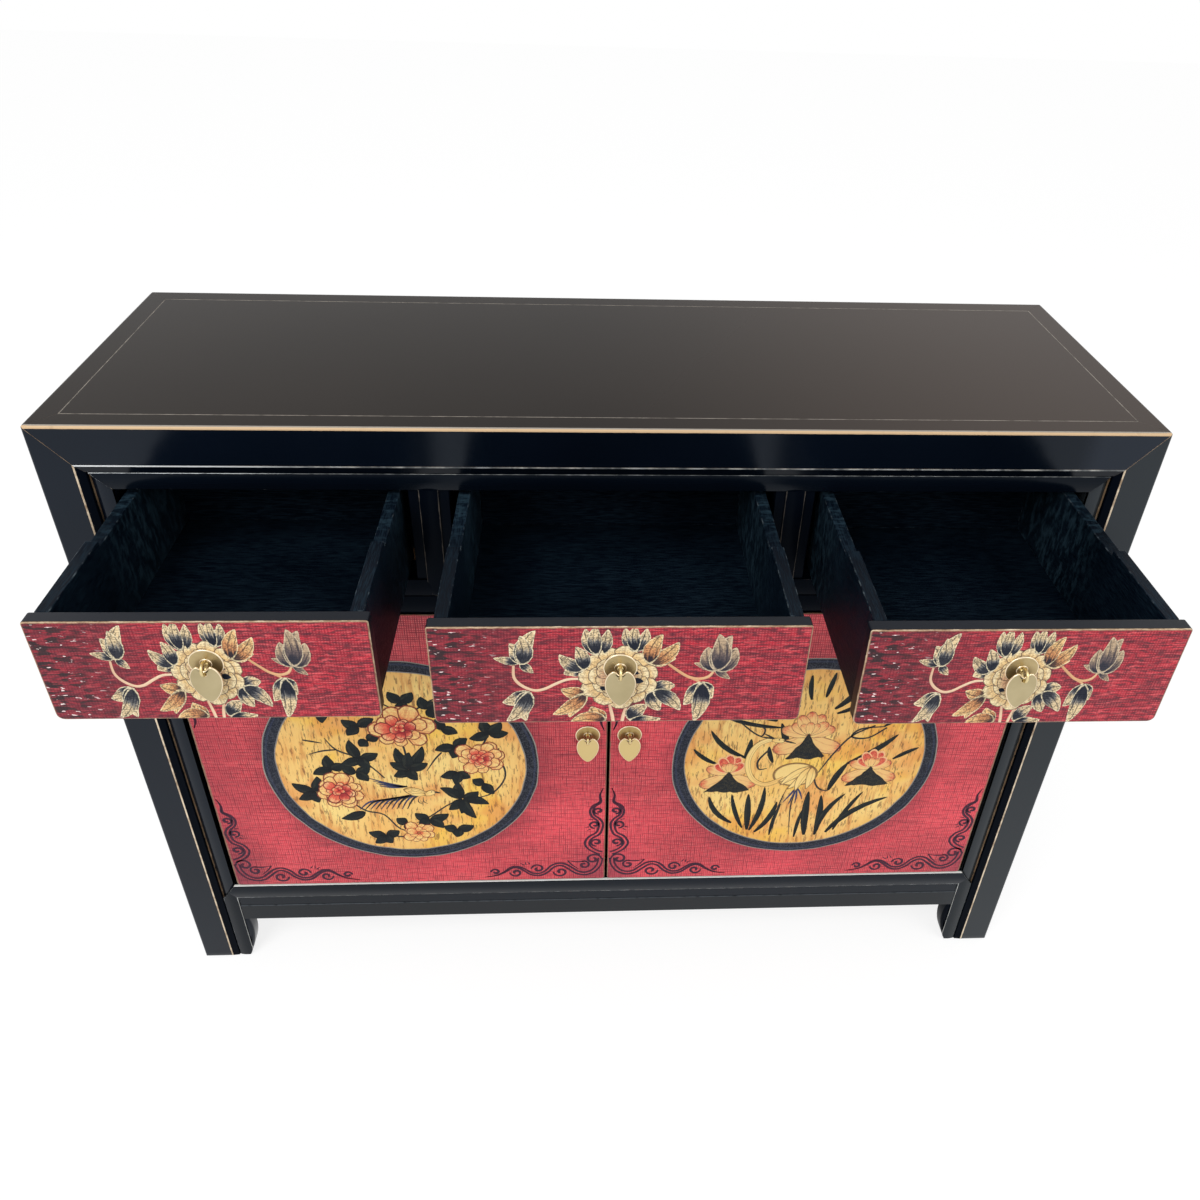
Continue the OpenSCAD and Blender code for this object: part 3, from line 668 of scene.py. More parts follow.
def rounded_case(corner):
    """A point of the case, drawn in where the outer arrises and the toes are rounded."""
    x, y, z = corner
    pull = drawn_in(Vector((max(abs(x) - HALF_W + CASE_ROUND, 0), max(abs(y) - HALF_D + CASE_ROUND, 0),
                            max(z - TALL + CASE_ROUND, 0))), CASE_ROUND)
    spot = [x - math.copysign(pull.x, x), y - math.copysign(pull.y, y)]
    z -= pull.z
    for axis, half in enumerate((HALF_W, HALF_D)):
        over = Vector((max(abs(spot[axis]) - half + TOE_ROUND, 0), max(TOE_ROUND - z, 0)))
        pull = drawn_in(over, TOE_ROUND)
        spot[axis] -= math.copysign(pull.x, spot[axis])
        z += pull.y
    return (*spot, z)


# %% [markdown]
# ## The moulded face
# Seen from its outer edge inwards, a leg shows a broad flat, a narrow band that slopes back, a
# groove, and a rounded strip beside the opening. The top rails show the same, so the profile
# runs round each corner. The arris between flat and band is rubbed to a gold line.

# %% The moulding's profile
STRIP_STEPS = 8
LINE_WEAR, STRIP_WEAR, OUTER_WEAR, INNER_WEAR = 0.84, 0.2, 0.3, 1.15
WEAR_DEEP = 0.6
FINE = (0.0, 0.5, 1.0, 1.6, 2.3, CASE_ROUND)


def strip_points(start, end, depth, first, last, fall=0.06):
    """A rounded strip as (along, depth, radius, wear), with wear at its two edges."""
    points = []
    for t in (0, fall, *[step / STRIP_STEPS for step in range(1, STRIP_STEPS)], 1 - fall, 1):
        edge = first if t == 0 else last if t == 1 else 0
        points.append((start + (end - start) * t, depth - CROWN * math.sin(math.pi * t), 0, edge))
    return points


# The wear given to the strip's outer edge (first) paints a highlight along it.
def moulding(flat, line=LINE_WEAR, first=0.64, last=INNER_WEAR):
    """The moulded face without its outer corner, as (along, depth, radius, wear)."""
    slope_end = flat + BAND_W
    strip_start = slope_end + GROOVE_W
    bottom = BAND_D + GROOVE_D
    return [(flat, 0, 0.9, line), (slope_end, BAND_D, 0.3, 0.1), (slope_end, bottom, 0, 0),
            (strip_start, bottom, 0, 0),
            *strip_points(strip_start, strip_start + STRIP_W, STRIP_D, first, last)]


def swapped(points):
    """The same points with along and depth exchanged."""
    return [(v, u, radius, wear) for u, v, radius, wear in points]


def outer_corner(wear):
    """Fine points round an outer arris, where rounded_case draws them in."""
    down = [(0, v, 0, wear) for v in reversed(FINE[1:])]
    along = [(u, 0, 0, wear) for u in FINE]
    return [(0, CASE_ROUND + 0.7, 0, 0), *down, *along, (CASE_ROUND + 0.7, 0, 0, 0)]


# %% [markdown]
# ## Legs
# A leg is a square post with the moulding on its two outer faces. It is swept up from the
# floor, with close rings at the toe so that the bottom edge can be rounded. Its top ends in
# the three-way mitre. The hoof is two short blocks under the aprons, curved like a horse's
# hoof seen from the side, and behind them the foot is hollow. All this is one piece.

# %% Hoof curve
HOOF_OUT, HOOF_RISE, HOOF_TUCK, HOOF_NECK, HOOF_T = 8.0, 55.0, 13.0, 3.5, 20.0
HOOF_LAP = 6
HOOF_WIDE = LEG_W + HOOF_OUT
HOOF_DEEP = WAIST_D + HOOF_T
HOOF_R = (HOOF_RISE ** 2 + HOOF_TUCK ** 2) / (2 * HOOF_TUCK)
HOOF_HEIGHTS = [0, 3, 7, 12, 18, 25, 33, 42, 49, HOOF_RISE, 60, 66, 73, 79, APRON_LOW]
HOOF_RINGS = [(0.0, 3.0, 0.09), (1.05, 1.05, 0.1), (3.0, 0.0, 0.1), (3.0 + SUPPORT, 0.0, 0.0)]


def hoof_edge(z):
    """How far the foot reaches from the leg's outer side, at a height."""
    if z >= HOOF_RISE:
        climb = (z - HOOF_RISE) / (APRON_LOW - HOOF_RISE)
        return HOOF_WIDE - HOOF_NECK * (1 - math.cos(math.pi / 2 * climb))
    return HOOF_WIDE - HOOF_R + math.sqrt(HOOF_R ** 2 - (HOOF_RISE - z) ** 2)


# %% The post's section and its notches
LEG_RISES = (0.0, 0.6, 1.4, 2.4, 3.6, TOE_ROUND, 12.0, APRON_LOW, APRON_LOW + 0.02)
LEG_TOE = [(rise, 0.0, 0.0) for rise in LEG_RISES]
LAP_DEEP = 4


def leg_section(front):
    """The post's section: moulded towards the side, and towards the front on a front leg."""
    front_face = moulding(LEG_FLAT) if front else [(LEG_W, 0, 0.6, STRIP_WEAR)]
    corner = [(LEG_W, STRIP_D + WEAR_DEEP, 0, 0), (LEG_W, HOOF_DEEP, 0, 0), (LEG_W, LEG_W, 0, 0),
              (HOOF_DEEP, LEG_W, 0, 0), (STRIP_D + WEAR_DEEP, LEG_W, 0, 0)]
    return soften(outer_corner(OUTER_WEAR) + front_face + corner + swapped(moulding(LEG_FLAT))[::-1])


def cut_notch(work, side, first, last):
    """Lets a bottom rail's mitred lap into a leg: the strip is sunk below the diagonal."""
    def turned(along, depth, up):
        return Vector((along, depth, up) if side == 0 else (depth, along, up))

    across, up = last[0] - first[0], last[1] - first[1]
    diagonal, corner = turned(-up, 0, across), turned(first[0], 0, first[1])

    def on_strip(face):
        along, depth, height = turned(*face.calc_center_median())
        return LEG_W - STRIP_W - 0.01 < along < LEG_W + 0.01 and depth < STRIP_D + 0.1

    for point, normal in ((corner, diagonal), (Vector((0, 0, last[1])), Vector((0, 0, 1)))):
        strip = [face for face in work.faces if on_strip(face)]
        parts = strip + [part for face in strip for part in (*face.edges, *face.verts)]
        parts = list(dict.fromkeys(parts))
        bmesh.ops.bisect_plane(work, geom=parts, plane_co=point, plane_no=normal, dist=1e-4)
    inside = []
    for face in work.faces:
        middle = face.calc_center_median()
        if on_strip(face) and (middle - corner).dot(diagonal) * across > 0 and middle.z > last[1]:
            inside.append(face)
    sunk = bmesh.ops.extrude_face_region(work, geom=inside)
    moved = [item for item in sunk["geom"] if isinstance(item, bmesh.types.BMVert)]
    bmesh.ops.translate(work, verts=moved, vec=turned(0, LAP_DEEP, 0))
    bmesh.ops.delete(work, geom=[f for f in inside if f.is_valid], context="FACES")


# %% Legs


def leg_kind(middle, left):
    """0 for the polished flats, 1 for the band, the groove and the inside of a right foot, darkened as
    painted shade, 2 for the rounded strip.
    """
    depth, along = sorted(middle[:2])
    if depth < BAND_D + GROOVE_D + 0.5:
        strip_from = LEG_FLAT + BAND_W + GROOVE_W - 0.05
        if LEG_FLAT + 0.9 < along < strip_from:
            return 1
        return 2 if strip_from <= along < LEG_W + 0.1 else 0
    return 1 if middle[2] < APRON_LOW and not left else 0


def make_post(front):
    """The post with its notches, and its foot hollow and curved."""
    def hollow(u, v, z):
        return (HOOF_DEEP, HOOF_DEEP, z) if min(u, v) > HOOF_DEEP + 1 and z < APRON_LOW + 0.01 else (u, v, z)

    corners, faces, wears = bar(leg_section(front), 0.0, lambda u, v: TALL - leg_cut(max(u, v, 0)), hollow,
                                LEG_TOE)
    mesh = bpy.data.meshes.new("post")
    mesh.from_pydata(corners, [], faces)
    store(mesh, "wear", wears)
    work = bmesh.new()
    work.from_mesh(mesh)
    for side in ((0, 1) if front else (1,)):
        cut_notch(work, side, (LEG_W, LOW_TOP), (LEG_W - LAP_REACH, LAP_LOW))
    work.to_mesh(mesh)
    work.free()
    wears = stored(mesh, "wear")
    corners = [tuple(vertex.co) for vertex in mesh.vertices]
    faces = [tuple(face.vertices) for face in mesh.polygons]
    bpy.data.meshes.remove(mesh)
    for i, (u, v, z) in enumerate(corners):
        depth, along = sorted((u, v))
        if abs(depth - STRIP_D) < 0.02 and abs(along - LEG_W) < 0.02:
            wears[i] = max(wears[i], INNER_WEAR)
        if z < HOOF_RISE:
            corners[i] = (min(u, hoof_edge(z)), min(v, hoof_edge(z)), z)
    return corners, faces, wears


def make_leg(side, depth):
    """One leg: post, hoof blocks and rounded toes."""
    left, front = side == "left", depth == "front"
    curve = [(hoof_edge(z), float(z), 0) for z in HOOF_HEIGHTS]
    outline = [(LEG_W - HOOF_LAP, 0.0, 0), *curve, (LEG_W - HOOF_LAP, APRON_LOW, 0)]
    blocks = [bar(outline, WAIST_D, HOOF_DEEP, place, HOOF_RINGS, PLAIN_END)
              for place in (lambda u, v, t: (u, t, v), lambda u, v, t: (t, u, v))]
    corners, faces, wears = joined([make_post(front), *blocks])
    kinds = [leg_kind(middle_of(face, corners), left) for face in faces]
    sign_x, sign_y = (-1 if left else 1), (-1 if front else 1)
    placed = [rounded_case((sign_x * (HALF_W - u), sign_y * (HALF_D - v), z)) for u, v, z in corners]
    lacquers = [frame_lacquer, inner_lacquer, strip_lacquer]
    frame_piece(f"leg_{depth}_{side}", (placed, faces, wears), lacquers, kinds)


for side in ("left", "right"):
    for depth in ("front", "back"):
        make_leg(side, depth)

# %% [markdown]
# ## Top rails and the top panel
# The four top rails meet the legs in three-way mitres, and their upper faces frame the flush
# top panel. Only the front arris is rubbed to a broad gold band, because hands and cloths pass
# over it. The panel's own edge is eased by less than half a millimetre, and shows as a hairline.

# %% Top rails
ARRIS_WEAR = {"front": 1.02, "back": 0.5, "left": 0.45, "right": 0.45}
RAIL_PLACES = {
    "front": lambda b, c, t: (t, -HALF_D + b, TALL - c), "back": lambda b, c, t: (-t, HALF_D - b, TALL - c),
    "left": lambda b, c, t: (-HALF_W + b, -t, TALL - c), "right": lambda b, c, t: (HALF_W - b, t, TALL - c)}


def make_top_rail(side):
    """A top rail, cut at both ends along the legs' mitres."""
    half = HALF_W if side in ("front", "back") else HALF_D

    def cut(b, c):
        return half - max(mitre(max(c, 0)), b)

    section = soften([
        *outer_corner(ARRIS_WEAR[side]), (TOP_MARGIN, 0, 0.35, 0.85), (TOP_MARGIN, TOP_T, 0, 0),
        (RAIL_T, TOP_T, 0, 0), (RAIL_T, TOP_H, 0.4, 0), (STRIP_D + WEAR_DEEP, TOP_H, 0, 0),
        *swapped(moulding(RAIL_FLAT, 0.74, 0.8, 0.4))[::-1]])
    corners, faces, wears = bar(section, lambda b, c: -cut(b, c), cut, RAIL_PLACES[side])
    corners = [rounded_case(corner) for corner in corners]
    kinds = []
    for face in faces:
        flat_top = TALL - min(corners[i][2] for i in face) < 0.6
        kinds.append(1 if flat_top else 2 if TALL - middle_of(face, corners)[2] > RAIL_FLAT - 1.0 else 0)
    frame_piece(f"top_rail_{side}", (corners, faces, wears), [rail_lacquer, top_lacquer, bead_lacquer], kinds)


for side in RAIL_PLACES:
    make_top_rail(side)

# %% [markdown]
# ## Boards
# The top panel, the doors and the drawer fronts are flat boards with eased edges and small
# round corners. A board is a stack of rounded rectangles, one inside the other, that climb
# over the edge. Each ring has its own wear, so the rubbed border is part of the mesh.

# %% Board builder
CORNER_STEPS = 4
BOARD_COUNT = 4 * (CORNER_STEPS + 1)


def rounded_ring(low, high, inset, radii):
    """Points of a rounded rectangle, with one radius for the lower and one for the upper corners."""
    points = []
    for corner, (sx, sy) in enumerate(((1, -1), (1, 1), (-1, 1), (-1, -1))):
        radius = max(radii[0 if sy < 0 else 1] - inset, 0.02)
        middle = ((high[0] if sx > 0 else low[0]) - sx * (inset + radius),
                  (high[1] if sy > 0 else low[1]) - sy * (inset + radius))
        for step in range(CORNER_STEPS + 1):
            angle = math.radians(90 * corner - 90 + 90 * step / CORNER_STEPS)
            points.append((middle[0] + radius * math.cos(angle), middle[1] + radius * math.sin(angle)))
    return points


def board(low, high, radii, rings, place):
    """A board from rings (inset, depth, wear) that run from the back over the edge to the face."""
    corners, wears = [], []
    for inset, depth, wear in rings:
        corners += [place(u, v, depth) for u, v in rounded_ring(low, high, inset, radii)]
        wears += [wear] * BOARD_COUNT
    back, face = caps(BOARD_COUNT, len(rings))
    return corners, [back, *bands(BOARD_COUNT, len(rings)), face], wears


# %% Top panel
TOP_RINGS = [(0.6, TOP_T, 0), (0.0, TOP_T - 0.6, 0), (0.0, 0.55, 0.3), (0.12, 0.15, 0.85), (0.45, 0.0, 0.85),
             (0.95, 0.0, 0), (14.0, 0.0, 0)]
reach = (HALF_W - TOP_MARGIN, HALF_D - TOP_MARGIN)
frame_piece("top_panel", board([-side for side in reach], reach, (0.6, 0.6), TOP_RINGS,
                               lambda u, v, depth: (u, v, TALL - depth)), [top_lacquer])

# %% [markdown]
# ## Rails between and below
# The rail under the drawers shows two rounded strips over a plain lip. The bottom rail has one
# broad strip, a groove and a recessed waist, and its strip is let into the legs with a mitred
# lap. Below it stands the plain apron.

# %% Middle rail
HALF_STRIP = (MID_TOP - MID_LOW - MID_LIP - GROOVE_W) / 2
STRIP_LOW = MID_LOW + MID_LIP
STRIP_MID = STRIP_LOW + HALF_STRIP


def strip_up(low, high, first, last, fall=0.06):
    """A rounded strip as (depth, height, radius, wear), climbing from low to high."""
    return swapped(strip_points(low, high, STRIP_D, first, last, fall))


def low_place(side):
    """Where (depth, height, along) stands on one side of the case."""
    return lambda b, z, t: RAIL_PLACES[side](b, TALL - z, t)


section = soften([
    (RAIL_T, MID_LOW, 0.5, 0), (WAIST_D, MID_LOW, 0.4, 0.4), (WAIST_D, STRIP_LOW, 0, 0),
    *strip_up(STRIP_LOW, STRIP_MID, 0.5, 0.45), (STRIP_D + GROOVE_D, STRIP_MID, 0, 0),
    (STRIP_D + GROOVE_D, STRIP_MID + GROOVE_W, 0, 0), *strip_up(STRIP_MID + GROOVE_W, MID_TOP, 0.5, 0.5),
    (STRIP_D + WEAR_DEEP, MID_TOP, 0, 0), (RAIL_T, MID_TOP, 0.5, 0)])
frame_piece("mid_rail", bar(section, -INNER_X, INNER_X, low_place("front")), [inner_lacquer])

# %% Dividers with their raised beads
DIVIDER_X, DIVIDER_W, BEAD_W, BEAD_D, BEAD_LAP = 200.0, 44.0, 21.0, 4.0, 22.0
BEAD_HEIGHTS = [0, 0.6, 1.6, 3.2, 5.2, 7.6, BEAD_W / 2]


def divider(middle):
    """A slab between two drawers, and the bead that runs down it and ends round on the rail."""
    half = DIVIDER_W / 2
    slab = soften([(-half, RAIL_T, 0, 0), (-half, WAIST_D, 0.8, 0.3), (half, WAIST_D, 0.8, 0.3),
                   (half, RAIL_T, 0, 0)])
    slab = bar(slab, MID_TOP, OPEN_TOP, lambda u, v, t: (middle + u, -HALF_D + v, t), PLAIN_END, PLAIN_END)
    foot = MID_TOP - BEAD_LAP
    rings = []
    for rise in BEAD_HEIGHTS:
        spread = math.sqrt(max((BEAD_W / 2) ** 2 - (BEAD_W / 2 - rise) ** 2, 0.04))
        rings.append((foot + rise, spread / (BEAD_W / 2)))
    rings += [(MID_TOP + 2.0, 1.0), (OPEN_TOP - 4.0, 1.0), (OPEN_TOP, 1.0)]
    back = -HALF_D + STRIP_D + BAND_W / 2
    corners, wears = [], []
    for number, (z, share) in enumerate(rings):
        for step in range(STRIP_STEPS + 1):
            t = step / STRIP_STEPS
            lift = CROWN * math.sin(math.pi * t) * min(1.0, share * 1.15)
            corners.append((middle + BEAD_W * (t - 0.5) * share, -HALF_D + BEAD_D - lift, z))
            wears.append(0.72 if step in (0, STRIP_STEPS) or number < 2 else 0.0)
        corners += [(middle + side * BEAD_W / 2 * share, back, z) for side in (1, -1)]
        wears += [0, 0]
    count = STRIP_STEPS + 3
    return joined([slab, (corners, caps(count, len(rings)) + bands(count, len(rings)), wears)])


for side, middle in (("left", -DIVIDER_X), ("right", DIVIDER_X)):
    frame_piece(f"divider_{side}", divider(middle), [inner_lacquer])

# %% Bottom rails and aprons
# The bottom rail's strip is given wear at both edges; in the white line tone it is partly a rubbed line and
# partly a painted highlight.
low_section = soften([
    (RAIL_T, LOW_LOW, 0.5, 0), (WAIST_D, LOW_LOW, 0.5, 0.2), (WAIST_D, LAP_LOW - GROOVE_W, 0.3, 0.2),
    (WAIST_D + GROOVE_D, LAP_LOW - GROOVE_W, 0, 0), (WAIST_D + GROOVE_D, LAP_LOW, 0, 0),
    *strip_up(LAP_LOW, LOW_TOP, 0.62, 1.5, 0.05),
    (STRIP_D + 2.6, LOW_TOP, 0, 0.9), (STRIP_D + 3.2, LOW_TOP, 0, 0), (RAIL_T, LOW_TOP, 0.5, 0)])
apron_section = soften([(APRON_D + APRON_T, APRON_LOW, 0.8, 0), (APRON_D, APRON_LOW, 1.0, 0.3),
                        (APRON_D, LOW_LOW, 1.0, 0.6), (APRON_D + APRON_T, LOW_LOW, 0, 0)])
back_section = soften([(RAIL_T, LOW_LOW, 0.8, 0), (0, LOW_LOW, 0.8, 0.4), (0, LOW_TOP, 0.8, 0.4),
                       (RAIL_T, LOW_TOP, 0, 0)])


def make_low_rail(side, half):
    """A bottom rail whose strip laps into the legs, and the apron below it."""
    def reach(b, z):
        inside = LAP_LOW - 0.01 <= z and b < STRIP_D + 0.01
        return half + (LAP_REACH * (LOW_TOP - z) / (LOW_TOP - LAP_LOW) if inside else 0.0)

    place = low_place(side)
    rail = bar(low_section, lambda b, z: -reach(b, z), reach, place)
    # The groove under the strip takes the darker, duller lacquer, as painted shade in the recess.
    kinds = [int(LAP_LOW - GROOVE_W < middle_of(face, rail[0])[2] < LAP_LOW - 0.01) for face in rail[1]]
    frame_piece(f"bottom_rail_{side}", rail, [low_lacquer, inner_lacquer], kinds)
    apron = bar(apron_section, -half, half, place, PLAIN_END, PLAIN_END)
    frame_piece(f"apron_{side}", apron, [apron_lacquer])


for side, half in (("front", INNER_X), ("left", INNER_Y), ("right", INNER_Y)):
    make_low_rail(side, half)
frame_piece("bottom_rail_back", bar(back_section, -INNER_X, INNER_X, low_place("back")), [frame_lacquer])

# %% [markdown]
# ## Bare wood and iron inside
# Battens, runners, the cupboard's floor and the back are plain wood that nobody polishes. They
# keep their CAD meshes and get a grain that runs along each piece, from noise drawn out in that
# direction. The pivot pins are dull iron.

# %% Group: wood grain
grain, t, given, made = new_group("Wood grain", {"X": 20.0, "Y": 20.0, "Z": 20.0}, ["Rings", "Pores"])
stretch = t.xyz(X=given["X"], Y=given["Y"], Z=given["Z"])
where = t.add("ShaderNodeVectorMath", {0: t.space(), 1: stretch}, operation="MULTIPLY").outputs[0]
t.link(t.texture(where, 1.0, 4.0, Distortion=0.6), made["Rings"])
t.link(t.fade(t.texture(where, 6.0, 3.0), 0.42, 0.62), made["Pores"])

# %% Wood and iron
GRAIN_ALONG, GRAIN_ACROSS = 5.0, 90.0
BARE_WOOD = {"x": "mid_rail_back cupboard_floor door_stop door_left_ledges door_right_ledges",
             "y": "top_battens drawer_kickers runner_left runner_right runner_inner_left runner_inner_right",
             "z": "back_panel"}


def grain_lines(t, along, close=1):
    """The grain along one axis."""
    return t.use(grain, **{axis: (GRAIN_ALONG if axis == along else GRAIN_ACROSS) * close for axis in "xyz"})


def dress(nodes, material):
    """CAD nodes keep their meshes and get a better material."""
    for node in nodes.split():
        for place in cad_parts[node].material_slots:
            place.material = material


for along, nodes in BARE_WOOD.items():
    material, t, shader = new_material(f"bare_wood_{along}", Specular_IOR_Level=0.3)
    lines = grain_lines(t, along)
    body = t.blend(t.fade(lines["Rings"], 0.3, 0.7), "#705236", "#9e7a54")
    t.surface(shader, t.cover(body, lines["Pores"], 0.35, "#705236"), t.scaled(lines["Pores"], 0.12, 0.6),
              t.less(1.0, lines["Pores"]), 0.12, 0.4)
    dress(nodes, material)
pin_iron, t, shader = new_material("pin_iron", Metallic=1.0)
rust = t.use(clouds, size=90.0, soft=0.2)
t.surface(shader, t.blend(rust["Value"], "#46423e", "#62584e"), t.scaled(rust["Fine"], 0.3, 0.35))
dress("door_left_pins door_right_pins", pin_iron)
print("CAD nodes with bare wood:", sum(len(nodes.split()) for nodes in BARE_WOOD.values()))

# %% [markdown]
# ## Side panels
# The panels sit in grooves behind the moulded frame, so only their outer face shows. Each is a
# board in the frame's lacquer.

# %% Side panels
SIDE_PANEL_D, SIDE_PANEL_T, PANEL_GROOVE = 9.0, 12.0, 6.0
PANEL_RINGS = [(0.0, SIDE_PANEL_T, 0), (0.0, 0.3, 0), (0.3, 0.0, 0), (12.0, 0.0, 0)]
low = (-INNER_Y - PANEL_GROOVE, LOW_TOP - PANEL_GROOVE)
high = (INNER_Y + PANEL_GROOVE, OPEN_TOP + PANEL_GROOVE)
for side, sign in (("left", -1), ("right", 1)):
    panel = board(low, high, (0.5, 0.5), PANEL_RINGS,
                  lambda u, v, depth: (sign * (HALF_W - SIDE_PANEL_D - depth), u, v))
    frame_piece(f"side_panel_{side}", panel, [frame_lacquer])

# %% [markdown]
# ## Drawer boxes
# Sides, backs and bottoms are boards with grooves and steps that the CAD model already cut.
# A copy of each CAD mesh is merged, its flat triangles are joined up again, and its edges are
# rounded by a small bevel. The wear is stored on the bevel's own face corners, so that it ends
# where the bevel ends. The copy then stands for the CAD node.

# %% Copies with rounded edges
EDGE_ROUND, EDGE_WEAR = 0.9, 0.45
SAME_PLACE = 1e-6


def area_normals(mesh):
    """Vertex normals weighted by area, so that broad flats stay flat beside a thin bevel."""
    totals = np.zeros((len(mesh.vertices), 3))
    for face in mesh.polygons:
        for vertex in face.vertices:
            totals[vertex] += np.array(face.normal) * face.area
    totals /= np.maximum(np.linalg.norm(totals, axis=1, keepdims=True), 1e-12)
    mesh.normals_split_custom_set_from_vertices([tuple(n) for n in totals])


def softened_copy(node, material, body):
    """A CAD node's shape with rounded edges, standing for the node."""
    work = bmesh.new()
    work.from_mesh(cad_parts[node].data)
    bmesh.ops.remove_doubles(work, verts=work.verts, dist=SAME_PLACE)
    bmesh.ops.dissolve_limit(work, angle_limit=math.radians(1), verts=work.verts, edges=work.edges)
    edges = [edge for edge in work.edges if edge.is_manifold and edge.calc_face_angle() > math.radians(30)]
    made = bmesh.ops.bevel(work, geom=edges, offset=EDGE_ROUND * MM, segments=2, profile=0.5,
                           affect="EDGES", clamp_overlap=True)
    layer = work.loops.layers.float.new("wear")
    for face in made["faces"]:
        for loop in face.loops:
            loop[layer] = EDGE_WEAR
    mesh = bpy.data.meshes.new("piece_" + node)
    work.to_mesh(mesh)
    work.free()
    mesh.polygons.foreach_set("use_smooth", [True] * len(mesh.polygons))
    area_normals(mesh)
    return hang("piece_" + node, mesh, [material], body, [node])


# %% Drawer boxes


def inside_lacquer(name, along):
    """Satin black brushed over wood: the grain still shows, the edges are a little grey, and the sides carry
    a painted reflection towards the rear.
    """
    material, t, shader = new_material(name, Specular_IOR_Level=0.05)
    lines = grain_lines(t, along, 2)
    cloud = t.use(clouds, size=9.0, soft=0.25)
    body = t.blend(cloud["Value"], "#020710", "#070f1b")
    body = t.cover(body, lines["Pores"], t.scaled(cloud["Value"], 0.5, 0.1), "#223440")
    # Painted reflection: lighter blue-grey brushed streaks towards the rear of the drawer sides stand in for
    # the sky seen in them.
    if along == "y":
        sheen_streaks = t.fade(t.noise((60, 160, 60), 1.0, 4, 0.65), 0.45, 0.62)
        body = t.cover(body, t.times(sheen_streaks, t.fade(t.place("Object")["Y"], -0.31, -0.2)), 0.7, "#2c404c")
    body = t.blend(t.edge_wear_and_sheen(90.0)["Mask"], body, "#525c62")
    t.surface(shader, body, t.scaled(lines["Pores"], 0.15, 0.38), t.less(1.0, lines["Pores"]), 0.15, 0.5)
    return material


inside_x = inside_lacquer("inside_lacquer_across", "x")
inside_y = inside_lacquer("inside_lacquer_deep", "y")
for which in ("left", "middle", "right"):
    for part, material in (("sides", inside_y), ("back", inside_x), ("bottom", inside_x)):
        piece = softened_copy(f"drawer_{which}_{part}", material, f"drawer_{which}")
print("drawer boxes:", len(piece.data.polygons), "faces in the last bottom")

# %% [markdown]
# ## Red fronts
# The fronts were covered with coarse cloth before the red lacquer went on, so threads show in
# both directions. The drawers were also brushed along with a darker red, and near their left
# ends with black. A pattern that belongs to one board follows the board's own UV map, which
# here is measured in metres from the board's lower left corner.

# %% Red of the doors
CLOTH = {"threads": 370.0, "run": 0.14}


def finish_red(t, shader, ground, cloth, rough, height):
    """Wires a red ground, with the rubbed tan border of a painted board."""
    edge = t.edge_wear_and_sheen(120.0)
    bordered = t.blend(edge["Mask"], ground, t.blend(edge["Core"], "#88624c", "#c4a486"))
    t.surface(shader, bordered, t.scaled(cloth["Dark"], 0.2, rough), t.less(height, edge["Mask"]), 0.2, 0.5)


door_red, t, shader = new_material("door_red", Specular_IOR_Level=0.35, Coat_Roughness=0.25)
cloth = t.use(weave, **CLOTH)
cloud = t.use(clouds, size=7.0, soft=0.16)
sweep = t.use(streaks, length=5.0, count=46.0)
spot = t.place("Object")
from_centre = t.less(t.maths("ABSOLUTE", spot["X"]), 0.266)
away = t.xyz(X=from_centre, Y=t.less(spot["Z"], 0.394))
away = t.add("ShaderNodeVectorMath", {0: away}, operation="LENGTH").outputs["Value"]
away = t.scaled(sweep["Value"], 0.06, away)
dim = t.most(t.fade(away, 0.235, 0.205), t.fade(spot["X"], -0.44, -0.53))
beside = t.less(0.2625, t.maths("ABSOLUTE", from_centre))
in_corner = t.times(t.fade(beside, 0.06, 0.01), t.fade(t.less(spot["Z"], 0.162), 0.1, 0.02))
ground = t.blend(cloud["Value"], "#ba2838", "#ec4252")
# Where the cloth's threads are raised, the red is painted paler: a painted highlight on the weave.
for mask, share, tone in (
        (t.fade(sweep["Value"], 0.5, 0.7), 0.45, "#f0545c"),
        (t.fade(cloth["Height"], 0.5, 0.95), 0.5, "#f29290"),
        (dim, 0.4, "#841e30"), (in_corner, 0.5, "#78223e"),
        (cloth["Dark"], t.scaled(cloud["Value"], -0.25, 0.85), "#621428"),
        (t.times(t.fade(sweep["Thin"], 0.6, 0.72), t.less(1.0, cloud["Value"])), 0.5, "#54162a")):
    ground = t.cover(ground, mask, share, tone)
finish_red(t, shader, ground, cloth, 0.36, cloth["Height"])

# %% Red of the drawers
drawer_red, t, shader = new_material("drawer_red", Specular_IOR_Level=0.35)
cloth = t.use(weave, **CLOTH)
across = t.place("UV")["X"]
sweep = t.use(streaks, length=22.0, count=130.0)
fine_sweep = t.use(streaks, length=120.0, count=480.0, place=3.0)
dashes = t.use(streaks, length=60.0, count=190.0, place=11.0)
glints = t.use(streaks, length=44.0, count=110.0, place=5.0)
ground = t.blend(t.fade(sweep["Value"], 0.34, 0.66), "#801428", "#be2034")
